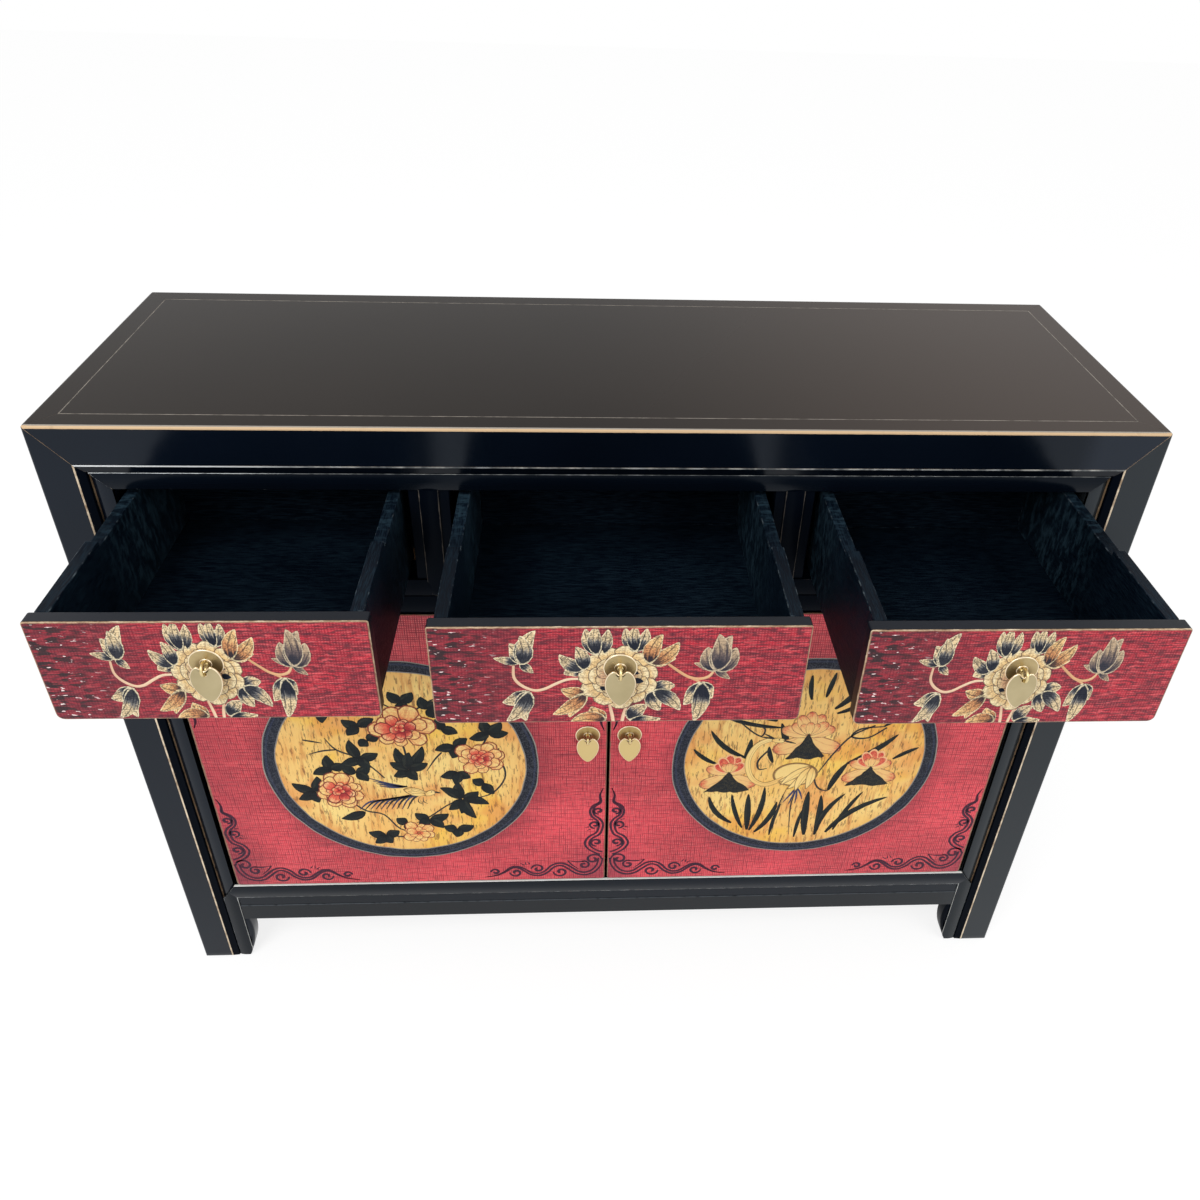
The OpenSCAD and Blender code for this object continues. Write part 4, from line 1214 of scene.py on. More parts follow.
# Where the cloth's threads are raised, the red is painted paler, a painted highlight on the weave; the white
# glints near the left end are painted highlights too.
for mask, share, tone in (
        (t.fade(sweep["Thin"], 0.5, 0.7), 0.8, "#e4585e"),
        (t.fade(cloth["Height"], 0.5, 0.95), 0.32, "#ec767a"),
        (t.fade(fine_sweep["Value"], 0.48, 0.59), 0.75, "#481224"), (cloth["Dark"], 0.42, "#541226"),
        (t.fade(across, 0.16, 0.03), 0.5, "#5c1024"),
        (t.times(t.fade(dashes["Value"], 0.49, 0.58), t.fade(across, 0.085, 0.02)), 0.9, "#160c14"),
        (t.fade(glints["Thin"], 0.65, 0.68), t.fade(across, 0.075, 0.02), "#f6dedc")):
    ground = t.cover(ground, mask, share, tone)
finish_red(t, shader, ground, cloth, 0.34, t.scaled(fine_sweep["Value"], 0.8, cloth["Height"]))

# %% Black of the boards' edges
board_black = lacquer("board_black", "#0a0c12", "#161820", 0.34, 0.18, patch=110.0)
print("front finishes:", door_red.name, drawer_red.name, board_black.name)

# %% Drawer fronts
DRAWERS = {"left": (-376.0, 301.0, 226.0), "middle": (0.0, 349.0, 236.0), "right": (376.0, 301.0, 243.0)}
FRONT_LOW, FRONT_HIGH, FRONT_T = 698.5, 814.5, 15.0
FRONT_RADII = (7.0, 2.5)
FRONT_RINGS = [
    (0.9, FRONT_T, 0), (0.25, FRONT_T - 0.25, 0.4), (0.0, FRONT_T - 0.9, 0.3), (0.0, FRONT_T - 1.5, 0),
    (0.0, 2.0, 0), (0.0, 1.3, 0.62), (0.3, 0.45, 0.85), (0.95, 0.05, 0.75), (1.6, 0.0, 0.45), (2.3, 0.0, 0.1),
    (3.4, 0.0, 0.0), (9.0, 0.0, 0.0)]
FRONT_RED_FROM, DOOR_RED_FROM = 6, 7


def board_uv(corners, low):
    """The UV map of a board, in metres from its lower left corner."""
    return [((x - low[0]) * MM, (z - low[1]) * MM) for x, y, z in corners]


def band_kinds(rings, red_from):
    """1 for the bands of faces that are red, 0 for the black ones."""
    return [int(ring >= red_from) for ring in range(rings - 1) for _ in range(BOARD_COUNT)]


for which, (middle, width, out) in DRAWERS.items():
    low, high = (middle - width / 2, FRONT_LOW), (middle + width / 2, FRONT_HIGH)
    front = board(low, high, FRONT_RADII, FRONT_RINGS, lambda u, v, depth: (u, FACE_Y - out + depth, v))
    kinds = [0, *band_kinds(len(FRONT_RINGS), FRONT_RED_FROM), 1]
    make_piece(f"piece_drawer_{which}_front", front, [board_black, drawer_red], f"drawer_{which}",
               [f"drawer_{which}_front"], kinds, board_uv(front[0], low))
print("drawer front:", len(front[1]), "faces")

# %% Doors
DOOR_LOW, DOOR_HIGH, DOOR_T, DOOR_GAP, DOOR_EDGE, HEEL_R = 162.0, 647.0, 18.0, 3.5, 525.5, 4.0
DOOR_ROUND, DOOR_CORNER = 1.3, 4.0
DOOR_DEPTHS = [(18.0, 0), (17.6, 0), (16.7, 0.2), (14.0, 0), (4.0, 0), (2.2, 0), (1.3, 0.5), (0.75, 0.6),
               (0.3, 0.7), (0.05, 0.6), (0.0, 0.5)]
FACE_RINGS = [(0.0, 0.1, 2.0, 4.7), (0.0, 0.0, 3.2, 5.9), (0.0, 0.0, 9.0, 12.0)]


def edge_inset(depth, radius):
    """How far a rounded edge draws in at a depth from the face, on a board as thick as a door."""
    nearer = min(depth, DOOR_T - depth)
    return radius - math.sqrt(max(radius ** 2 - max(radius - nearer, 0) ** 2, 0))


def make_door(side, sign):
    """A door: one board whose outer edge is rounded more, so that it can turn beside the leg."""
    rings = [(depth, wear, edge_inset(depth, DOOR_ROUND), edge_inset(depth, HEEL_R))
             for depth, wear in DOOR_DEPTHS] + FACE_RINGS
    corners, wears = [], []
    for depth, wear, inset, heel in rings:
        ring = rounded_ring((-DOOR_EDGE + heel - inset, DOOR_LOW), (-DOOR_GAP / 2, DOOR_HIGH), inset,
                            (DOOR_CORNER, DOOR_CORNER))
        corners += [(-sign * u, FACE_Y + depth, v) for u, v in ring]
        wears += [wear] * BOARD_COUNT
    faces = bands(BOARD_COUNT, len(rings)) + caps(BOARD_COUNT, len(rings))
    kinds = [*band_kinds(len(rings), DOOR_RED_FROM), 0, 1]
    make_piece(f"piece_door_{side}_panel", (corners, faces, wears), [board_black, door_red], f"door_{side}",
               [f"door_{side}_panel"], kinds, board_uv(corners, (0, DOOR_LOW)))
    print(f"door {side}:", len(faces), "faces")


make_door("left", -1)
make_door("right", 1)

# %% [markdown]
# ## Brass pulls
# Each pull is a round plate, a split pin whose eye stands out from the plate, and a heart
# shaped pendant that hangs in the eye. Plates and eyes are turned shapes, made by spinning a
# profile. A pendant is a stack of outlines, drawn in towards its edge and towards its hole, so
# that the rim catches the light. The hole is real, and the pendant swings in the eye.

# %% Brass


def brass(name, dark, light, rough, patch, warm=None):
    """Dulled brass: two tones of tarnish, warmer low down, brighter at the rim, partly polished by hands and
    partly a painted highlight.
    """
    material, t, shader = new_material(name, Metallic=1.0)
    tarnish = t.use(clouds, size=patch, soft=0.25)
    body = t.blend(tarnish["Value"], dark, light)
    if warm:
        body = t.blend(t.fade(t.place("Object")["Z"], 0.62, 0.55), body, warm)
    rim = t.edge_wear_and_sheen(200.0)["Mask"]
    t.surface(shader, t.blend(rim, t.cover(body, tarnish["Fine"], 0.2, "#d6c496"), "#f0debe"),
              t.scaled(rim, -0.12, t.scaled(tarnish["Fine"], 0.16, rough)), tarnish["Fine"], 0.03, 0.3)
    return material


plate_brass = brass("plate_brass", "#a49068", "#beaa7e", 0.36, 60.0, "#bea46c")
eye_brass = brass("eye_brass", "#ceba80", "#ecdaa8", 0.22, 90.0)
pendant_brass = brass("pendant_brass", "#ac9e7a", "#bcae8a", 0.36, 45.0, "#d6be84")

# %% Turned shapes
TURN_STEPS, HOOP_STEPS, WIRE_STEPS = 48, 40, 14


def circle(steps):
    """Cosine and sine of even steps round a circle."""
    return [(math.cos(2 * math.pi * i / steps), math.sin(2 * math.pi * i / steps)) for i in range(steps)]


def turned(profile, place):
    """A closed shape spun round an axis, from (radius, along, wear). A radius of 0 closes an end."""
    corners, wears, faces, rings = [], [], [], []
    for radius, along, wear in profile:
        ring = circle(TURN_STEPS if radius else 1)
        rings.append((len(corners), len(ring)))
        corners += [place(radius * u, radius * v, along) for u, v in ring]
        wears += [wear] * len(ring)
    for (low, some), (high, more) in zip(rings, rings[1:]):
        for i in range(TURN_STEPS):
            j = (i + 1) % TURN_STEPS
            if some == 1:
                faces.append((low, high + i, high + j))
            elif more == 1:
                faces.append((low + i, low + j, high))
            else:
                faces.append((low + i, low + j, high + j, high + i))
    return corners, faces, wears


def hoop(radius, wire, place):
    """A ring of round wire."""
    corners = [place((radius + wire * inner) * u, (radius + wire * inner) * v, wire * outer)
               for u, v in circle(HOOP_STEPS) for inner, outer in circle(WIRE_STEPS)]
    return corners, bands(WIRE_STEPS, HOOP_STEPS, closed=True), [0.0] * len(corners)


# %% Plate, eye and tails
PLATE_R, EYE_R, WIRE_R, EYE_Y, TAIL_L = 16.0, 6.0, 1.4, 8.8, 12.0
PLATE_PROFILE = [
    (0, 0.0, 0), (15.6, 0.0, 0), (PLATE_R, 0.25, 0.3), (PLATE_R, 0.7, 0.7), (15.85, 1.15, 1.0),
    (15.5, 1.42, 1.0), (14.9, 1.52, 0.6), (14.2, 1.42, 0.0), (13.6, 1.4, 0.0), (6.4, 1.6, 0.0),
    (5.6, 1.75, 0.6), (5.3, 2.15, 0.9), (4.7, 2.3, 0.9), (3.6, 2.3, 0.0), (0, 2.3, 0.0)]
PIN_END = [(0.0, 0.5, 0.4), (0.5, 0.0, 0.4), (1.2, 0.0, 0)]
TAIL_END = [(0.0, 0.6, 0.6), (0.5, 0.1, 0.6), (1.5, 0.0, 0)]


def pull_parts(x, face_y, z, thick):
    """The fixed parts of a pull: plate, eye, shank and the tails bent over behind the board."""
    def outwards(u, v, along):
        return (x + u, face_y - along, z + v)

    parts = [hoop(EYE_R, WIRE_R, lambda u, v, side: (x + side, face_y - EYE_Y + u, z + v))]
    for sign in (-1, 1):
        turns = [math.pi * k / 8 for k in range(9)]
        half_round = [(sign * (0.1 + 1.9 * WIRE_R * math.sin(turn)), 1.9 * WIRE_R * math.cos(turn), 0)
                      for turn in turns]
        parts.append(bar(half_round, -thick - WIRE_R, EYE_Y - EYE_R + 0.8, outwards, PLAIN_END, PIN_END))
    outline = soften([(-WIRE_R * 1.6, 0, 0.8, 0.6), (WIRE_R * 1.6, 0, 0.8, 0.6),
                      (WIRE_R * 1.6, WIRE_R, 0.8, 0.6), (-WIRE_R * 1.6, WIRE_R, 0.8, 0.6)])
    for sign in (-1, 1):
        parts.append(bar(outline, 0.0, TAIL_L, lambda u, v, t: (x + sign * t, face_y + thick + v, z + u),
                         PLAIN_END, TAIL_END))
    return turned(PLATE_PROFILE, outwards), joined(parts)


# %% Pendants
PENDANT_W, PENDANT_H, NOTCH_D, HOLE_R = 29.0, 44.0, 7.0, 1.85
HALF_POINTS = 36
EDGE_RINGS = [(1.9, -1.1, 0.0), (1.15, -1.08, 0.2), (0.55, -0.9, 1.0), (0.15, -0.55, 1.0), (0.0, 0.0, 0.8),
              (0.15, 0.55, 0.6), (0.55, 0.9, 0.4), (1.15, 1.08, 0.0), (1.9, 1.1, 0.0)]
HOLE_RINGS = [(0.9, 1.1, 0.0), (0.25, 1.0, 0.6), (0.0, 0.6, 0.8), (0.0, -0.6, 0.8), (0.25, -1.0, 0.8),
              (0.9, -1.1, 0.0)]


def pendant_outline():
    """Round shoulders, a small notch above and a point below, as the CAD source draws them."""
    right = []
    for i in range(HALF_POINTS + 1):
        angle = math.pi * i / HALF_POINTS
        full, drop = max(math.sin(angle), 0), math.cos(angle)
        across = PENDANT_W / 2 * full ** (1 if drop > 0 else 1.25) * (1 + 0.24 * drop) / 1.027
        right.append((across, PENDANT_H * (drop - 1) / 2 - NOTCH_D * max(0, drop) ** 36))
    left = [(-across, up) for across, up in reversed(right[1:-1])]
    rise = -EYE_R + HOLE_R + WIRE_R + NOTCH_D
    return [(across, up + rise) for across, up in right + left]


def pendant(x, face_y, z):
    """A closed pendant with its hole: one band of faces that runs round both edges."""
    outline = pendant_outline()
    steps = inward(outline)
    count = len(outline)
    corners, wears = [], []
    for rings, hole in ((EDGE_RINGS, False), (HOLE_RINGS, True)):
        for inset, depth, wear in rings:
            for i, ((u, v), step) in enumerate(zip(outline, steps)):
                angle = math.pi / 2 - 2 * math.pi * i / count
                if hole:
                    u, v = (HOLE_R + inset) * math.cos(angle), -EYE_R + (HOLE_R + inset) * math.sin(angle)
                else:
                    u, v = u + step[0] * inset, v + step[1] * inset
                corners.append((x + u, face_y - EYE_Y + depth, z + v))
            wears += [wear] * count
    return corners, bands(count, len(EDGE_RINGS + HOLE_RINGS), closed=True), wears


# %% The five pulls
DRAWER_PULL_Z, DOOR_PULL_Z, DOOR_PULL_X = 767.5, 450.5, 27.0
PULLS = {f"drawer_{which}": (middle, FACE_Y - out, DRAWER_PULL_Z, FRONT_T)
         for which, (middle, width, out) in DRAWERS.items()}
PULLS |= {"door_left": (-DOOR_PULL_X, FACE_Y, DOOR_PULL_Z, DOOR_T),
          "door_right": (DOOR_PULL_X, FACE_Y, DOOR_PULL_Z, DOOR_T)}
for place, (x, face_y, z, thick) in PULLS.items():
    plate, eye = pull_parts(x, face_y, z, thick)
    heart = pendant(x, face_y, z)
    make_piece(f"piece_{place}_plate", plate, [plate_brass], place, [f"{place}_pull"])
    make_piece(f"piece_{place}_eye", eye, [eye_brass], place, [f"{place}_pull"])
    make_piece(f"piece_{place}_pendant", heart, [pendant_brass], f"pendant_{place}", [f"{place}_pendant"])
print("pulls:", len(PULLS), "with", len(heart[1]), "faces in a pendant")

# %% [markdown]
# ## A painter's kit
# The fronts are painted with flowers, leaves and scrolls. A painted shape is a very thin closed
# piece on the board's face, and shapes overlap in layers a few hundredths of a millimetre
# apart. Three tools make them all: a petal drawn from its root to its tip, a brush line along
# a path, and a rosette of petals. Every corner keeps three marks for the paint: how far along
# the stroke it is, how far across, and how near the outline.

# %% Outlines of petals
LAYER, LOWEST, SUNK = 0.05, 0.06, -0.02
HAIRS, HAIR = 7, 0.12
PETAL_RINGS = (1.0, 0.84, 0.5)
NO_LIMIT = 1e4
WAIST = 0.56


def petal_width(shape, s):
    """Half the width of a petal, from 0 to 1, at s from its root to its tip."""
    if shape in ("round", "ruffle"):
        if s > WAIST:
            return math.sqrt(max(1 - ((s - WAIST) / (1 - WAIST)) ** 2, 0))
        return 0.42 + 0.58 * math.sin(math.pi / 2 * s / WAIST)
    if shape == "blade":
        return math.sin(math.pi * min(s * 0.96 + 0.04, 1)) ** 0.55
    return 0.06 + 0.94 * math.sin(math.pi * s ** 0.8) ** 0.9 if s < 1 else 0.0


def petal_edge(shape, half_count):
    """The closed outline (s, t) of a petal, up one side and down the other."""
    side = []
    for i in range(half_count + 1):
        s = (1 - math.cos(math.pi * i / half_count)) / 2
        notch = 0.05 * math.sin(9 * s) if shape == "round" and s > 0.5 else 0
        if shape == "ruffle":
            notch = 0.13 * math.sin(15 * s) if s > 0.35 else 0
        side.append((s, petal_width(shape, s) * (1 + notch)))
    root = [(0.0, -side[0][1])] if side[0][1] > 0.1 else []
    return side + [(s, -t) for s, t in reversed(side[1:-1])] + root


def petal_faces(count):
    """Faces of a ringed closed shape: bands, a fan in the middle, walls and a back."""
    faces = bands(count, len(PETAL_RINGS))
    inner, middle = (len(PETAL_RINGS) - 1) * count, len(PETAL_RINGS) * count
    back = middle + 1
    for i in range(count):
        j = (i + 1) % count
        faces += [(inner + i, inner + j, middle), (back + i, back + j, j, i)]
    return faces + [tuple(range(back, back + count))]


# %% A painting and its shapes


class Painting:
    """Painted shapes of one board, in millimetres across, up and out from its face."""

    def __init__(self, seed):
        self.hand = random.Random(seed)
        self.corners, self.faces, self.kinds, self.marks, self.shades, self.lines = [], [], [], [], [], []
        self.limits = (-NO_LIMIT, NO_LIMIT)
        self.drawn = 0

    def add(self, corners, faces, kinds, marks, shades):
        """Adds a mesh with its paints and marks, kept between the painting's limits."""
        shift = len(self.corners)
        low, high = self.limits
        self.corners += [(u, min(max(v, low), high), w) for u, v, w in corners]
        self.faces += [tuple(shift + i for i in face) for face in faces]
        self.kinds += kinds
        self.marks += marks
        self.shades += shades

    def add_shape(self, spots, marks, count, kind, layer):
        """Adds rings of spots, a middle and a back as one shape. Shapes of a layer lie a hair apart."""
        self.drawn += 1
        out = LOWEST + (layer + self.drawn % HAIRS * HAIR) * LAYER
        heights = [out] * (len(spots) - count) + [SUNK] * count
        corners = [(u, v, w) for (u, v), w in zip(spots, heights)]
        faces = petal_faces(count)
        self.add(corners, faces, [kind] * len(faces), marks, [self.hand.random()] * len(corners))

    def petal(self, root, tip, width, kind, layer, shape="leaf", bend=0.0, half_count=8):
        """A petal from its root to its tip, its middle line bowed by a share of its length."""
        root, tip = Vector(root), Vector(tip)
        line = tip - root
        aside = Vector((-line.y, line.x))
        edge = petal_edge(shape, half_count)
        marks = [(0.5 + (s - 0.5) * ring, t * ring, ring) for ring in PETAL_RINGS for s, t in edge]
        marks += [(0.5, 0.0, 0.0), *[(s, t, 1.0) for s, t in edge]]
        spots = []
        for s, t, rim in marks:
            slant = aside.normalized() - line.normalized() * (4 * bend * (1 - 2 * s))
            spots.append(tuple(root + line * s + aside * (4 * bend * s * (1 - s)) + slant * (t * width / 2)))
        self.add_shape(spots, marks, len(edge), kind, layer)

    def fan(self, root, tips, width, kind, layer, shape="leaf", bend=0.0):
        """Petals that share a root, each a layer above the one before."""
        for i, tip in enumerate(tips):
            self.petal(root, tip, width, kind, layer + i, shape, bend * (-1) ** i)

    def patch(self, edge, kind, layer):
        """A shape inside any closed edge that is seen whole from its middle."""
        middle = Vector([sum(spot[axis] for spot in edge) / len(edge) for axis in (0, 1)])
        spots = [tuple(middle + (Vector(spot) - middle) * ring) for ring in PETAL_RINGS for spot in edge]
        marks = [(0.5, 0.0, ring) for ring in PETAL_RINGS for spot in edge]
        marks += [(0.5, 0.0, 0.0), *[(0.5, 0.0, 1.0)] * len(edge)]
        self.add_shape([*spots, tuple(middle), *edge], marks, len(edge), kind, layer)

    def disc(self, centre, radius, kind, layer, steps=96, tall=1.0):
        """A round or oval patch."""
        edge = [(centre[0] + radius * u, centre[1] + radius * tall * v) for u, v in circle(steps)]
        self.patch(edge, kind, layer)

    def line(self, points, width, kind, layer, closed=False, ends=(0.25, 0.25), wobble=0.0):
        """A brush line through points. Its ends taper to a share of its width."""
        self.lines.append((points, width, kind, layer, closed, ends, wobble))


# %% [markdown]
# ## Brush lines and rosettes as node trees
# Geometry Nodes suit both. A brush line follows a path and swells with its radius, so the tree
# smooths the path, sweeps a flat profile along it and sets it to its layer. A rosette repeats
# one petal round each flower's centre, so the tree turns, tilts and varies the petal a little,
# and a fixed seed keeps it the same every time.

# %% Trees and how they are grown


class Shapes(Nodes):
    """A geometry tree, with a few calls of its own."""

    def geometry(self, kind, inputs=None, **settings):
        """The first output of a Geometry node."""
        return self.add("GeometryNode" + kind, inputs, **settings).outputs[0]

    def named(self, name):
        """A number stored on the points."""
        inputs = {"Name": name}
        return self.add("GeometryNodeInputNamedAttribute", inputs, data_type="FLOAT").outputs["Attribute"]

    def keep(self, geometry, name, value, domain="POINT"):
        """Stores a number under a name."""
        inputs = {"Geometry": geometry, "Name": name, "Value": value}
        return self.geometry("StoreNamedAttribute", inputs, data_type="FLOAT", domain=domain)

    def chance(self, inputs):
        """A random number."""
        return self.add("FunctionNodeRandomValue", inputs, data_type="FLOAT").outputs[1]


def new_tree(name, **inputs):
    """A geometry tree with named inputs, each (socket kind, starting value)."""
    tree = bpy.data.node_groups.new(name, "GeometryNodeTree")
    tree.interface.new_socket("Geometry", in_out="INPUT", socket_type="NodeSocketGeometry")
    for label, (kind, start) in inputs.items():
        socket = tree.interface.new_socket(label, in_out="INPUT", socket_type="NodeSocket" + kind)
        if start is not None:
            socket.default_value = start
    tree.interface.new_socket("Geometry", in_out="OUTPUT", socket_type="NodeSocketGeometry")
    nodes = Shapes(tree)
    return tree, nodes, nodes.add("NodeGroupInput").outputs, nodes.add("NodeGroupOutput").inputs


def grow(tree, mesh, **settings):
    """The plain mesh that a tree makes from a mesh of points or edges."""
    holder = put_in_scene("holder", mesh)
    change = holder.modifiers.new("grow", "NODES")
    change.node_group = tree
    for socket in tree.interface.items_tree:
        if socket.name in settings:
            change[socket.identifier] = settings[socket.name]
    grown = bpy.data.meshes.new_from_object(holder.evaluated_get(bpy.context.evaluated_depsgraph_get()))
    bpy.data.objects.remove(holder)
    return grown


def marked_mesh(name, corners, edges, **values):
    """A mesh of points and edges with point attributes, as food for a tree."""
    mesh = bpy.data.meshes.new(name)
    mesh.from_pydata(corners, edges, [])
    for label, numbers in values.items():
        store(mesh, label, numbers)
    return mesh


# %% Tree: brush line
brush_tree, t, given, made = new_tree("Brush line", Steps=("Int", 4), Paint=("Material", None))
path = t.geometry("MeshToCurve", {"Mesh": given["Geometry"]})
path = t.geometry("CurveSplineType", {"Curve": path}, spline_type="CATMULL_ROM")
path = t.geometry("SetSplineResolution", {"Geometry": path, "Resolution": given["Steps"]})
path = t.geometry("SetCurveNormal", {"Curve": path}, mode="Z_UP")
path = t.geometry("SetCurveRadius", {"Curve": path, "Radius": t.named("radius")})
flat = t.geometry("CurvePrimitiveQuadrilateral", {"Width": 2.0, "Height": 2.0})
flat = t.geometry("SubdivideCurve", {"Curve": flat, "Cuts": 1})
flat = t.keep(flat, "across", t.split(t.geometry("InputPosition"))["X"])
sweep = t.add("GeometryNodeCurveToMesh", {"Curve": path, "Profile Curve": flat, "Fill Caps": True})
if "Scale" in sweep.inputs:
    t.link(t.named("radius"), sweep.inputs["Scale"])
spot = t.split(t.geometry("InputPosition"))
front = t.maths("GREATER_THAN", spot["Z"], 0.0)
height = t.scaled(front, t.plus(t.named("depth"), -SUNK), SUNK)
place = t.xyz(X=spot["X"], Y=spot["Y"], Z=height)
laid = t.geometry("SetPosition", {"Geometry": sweep.outputs[0], "Position": place})
t.link(t.geometry("SetMaterial", {"Geometry": laid, "Material": given["Paint"]}), made["Geometry"])

# %% Tree: rosette
rosette_tree, t, given, made = new_tree(
    "Rosette", Petal=("Object", None), Count=("Int", 9), Ring=("Float", 10.0), Uneven=("Float", 0.12),
    Tilt=("Float", 0.006), Lift=("Float", 0.1), Seed=("Int", 1), Paint=("Material", None))
count = given["Count"]
ring = t.geometry("MeshCircle", {"Vertices": count, "Radius": 1.0})
share = t.maths("DIVIDE", t.geometry("InputIndex"), count)
ring = t.keep(ring, "turn", t.times(share, 2 * math.pi))
rings = t.geometry("InstanceOnPoints", {
    "Points": given["Geometry"], "Instance": ring, "Rotation": t.xyz(Z=t.named("start")),
    "Scale": t.times(t.named("size"), given["Ring"])})
places = t.geometry("RealizeInstances", {"Geometry": rings})
petal = t.add("GeometryNodeObjectInfo", {"Object": given["Petal"]}).outputs["Geometry"]
wander = t.chance({2: t.times(given["Uneven"], -1.0), 3: given["Uneven"], "Seed": given["Seed"]})
facing = t.plus(t.named("turn"), t.named("start"))
facing = t.plus(facing, t.scaled(wander, 0.8, -math.pi / 2))
spread = t.times(t.named("size"), t.plus(wander, 1.0))
petals = t.geometry("InstanceOnPoints", {
    "Points": places, "Instance": petal, "Rotation": t.xyz(Y=given["Tilt"], Z=facing),
    "Scale": t.xyz(X=spread, Y=spread, Z=1.0)})
petals = t.keep(petals, "shade", t.chance({"Seed": t.plus(given["Seed"], 5.0)}), "INSTANCE")
whole = t.geometry("RealizeInstances", {"Geometry": petals})
whole = t.geometry("SetPosition", {"Geometry": whole, "Offset": t.xyz(Z=given["Lift"])})
t.link(t.geometry("SetMaterial", {"Geometry": whole, "Material": given["Paint"]}), made["Geometry"])
print("trees:", brush_tree.name, "and", rosette_tree.name)

# %% Painting with the trees
TREE_STEPS = 4


def grow_lines(painting):
    """Turns all the brush lines of a painting into shapes."""
    corners, edges = [], []
    values = {"radius": [], "depth": [], "along": [], "shade": [], "kind": []}
    for points, width, kind, layer, closed, ends, wobble in painting.lines:
        first = len(corners)
        shade = painting.hand.random()
        for i, (u, v) in enumerate(points):
            s = i / (len(points) - 1)
            tapers = [end + way * 5 * (1 - end) for end, way in zip(ends, (s, 1 - s))]
            swell = 1.0 if closed else min(1.0, *tapers)
            radius = width / 2 * swell * (1 + wobble * painting.hand.uniform(-1, 1))
            corners.append((u, v, 0.0))
            for found, value in zip(values.values(), (radius, LOWEST + layer * LAYER, s, shade, kind)):
                found.append(value)
        edges += [(i, i + 1) for i in range(first, len(corners) - 1)]
        if closed:
            edges.append((len(corners) - 1, first))
    grown = grow(brush_tree, marked_mesh("lines", corners, edges, **values), Steps=TREE_STEPS)
    marks = [(s, t, abs(t)) for s, t in zip(stored(grown, "along"), stored(grown, "across"))]
    kind_of = stored(grown, "kind")
    painting.add([vertex.co for vertex in grown.vertices], [face.vertices for face in grown.polygons],
                 [round(kind_of[face.vertices[0]]) for face in grown.polygons], marks, stored(grown, "shade"))
    painting.lines = []


def grow_rosettes(painting, flowers, kind, count, ring, length, width, lift, seed, uneven=0.12):
    """A ring of petals round every flower, given as (across, up, size, turn)."""
    single = Painting(0)
    single.petal((0, 0), (0, length), width, 0, -1.2, "ruffle", half_count=7)
    petal_mesh = bpy.data.meshes.new("petal")
    petal_mesh.from_pydata(single.corners, [], single.faces)
    store(petal_mesh, "petal", single.marks, 3)
    model = put_in_scene("petal", petal_mesh)
    food = marked_mesh("flowers", [(u, v, 0) for u, v, size, turn in flowers], [],
                       size=[f[2] for f in flowers], start=[f[3] for f in flowers])
    grown = grow(rosette_tree, food, Petal=model, Count=count, Ring=ring, Uneven=uneven, Lift=lift, Seed=seed)
    bpy.data.objects.remove(model)
    painting.add([vertex.co for vertex in grown.vertices], [face.vertices for face in grown.polygons],
                 [kind] * len(grown.polygons), stored(grown, "petal", 3), stored(grown, "shade"))


def hang_painting(painting, name, body, face_y, origin, board_low, paints):
    """Makes the painted piece, with its board's UV map in metres."""
    placed = [(origin[0] + u, face_y - w, origin[1] + v) for u, v, w in painting.corners]
    piece = make_piece(name, (placed, painting.faces, None), paints, body, (), painting.kinds,
                       board_uv(placed, board_low))
    piece.data.polygons.foreach_set("use_smooth", [False] * len(piece.data.polygons))
    store(piece.data, "petal", painting.marks, 3)
    store(piece.data, "shade", painting.shades)
    print(name, len(piece.data.polygons), "faces")


# %% [markdown]
# ## Paints
# A petal is painted from its root to its tip in three tones, with fine veins and an outline,
# and the cloth under it shows through as dark flecks. One function mixes every paint, and only
# the colours and a few shares differ.

# %% Paints


def paint(name, tints, tones=(0.1, 0.42, 0.5, 0.85), rim_from=0.86, rim_share=0.85, veins=9.0, vein_share=0.4,
          flecks=0.4, rough=0.42, gloss=0.3, fleck=None):
    """A paint that reads the marks. Its tints are deep, body, pale, rim and vein."""
    deep, body, pale, rim, vein = tints.split()
    material, t, shader = new_material(name, Specular_IOR_Level=gloss)
    mark, shade = t.attribute("petal", "Vector"), t.attribute("shade")
    along, across, edge = t.split(mark)
    shift = t.add("ShaderNodeVectorMath", {0: mark, 1: t.times(shade, 31.0)}).outputs[0]
    loose = t.less(t.noise((3.0, 4.0, 0.0), 1.0, 3.0, 0.55, shift), 0.5)
    reach = t.scaled(loose, 0.6, along)
    tone = t.blend(t.fade(reach, tones[0], tones[1]), deep, body)
    tone = t.blend(t.fade(reach, tones[2], tones[3]), tone, pale)
    tone = t.cover(tone, shade, 0.15, body)
    wave = t.maths("SINE", t.scaled(loose, 3.0, t.times(across, veins)))
    tone = t.cover(tone, t.fade(wave, 0.72, 0.98), vein_share, vein)
    outline = t.fade(t.scaled(loose, 0.12, edge), rim_from, rim_from + 0.08)
    tone = t.cover(tone, outline, rim_share, rim)
    cloth = t.use(weave, **CLOTH)
    crumbs = t.use(specks, count=520.0, share=0.9)
    worn = t.most(t.times(cloth["Dark"], 0.7), crumbs["Mask"])
    t.surface(shader, t.cover(tone, worn, flecks, fleck or deep), t.scaled(cloth["Dark"], 0.2, rough),
              t.scaled(outline, -0.3, cloth["Height"]), 0.15, 0.5)
    return material


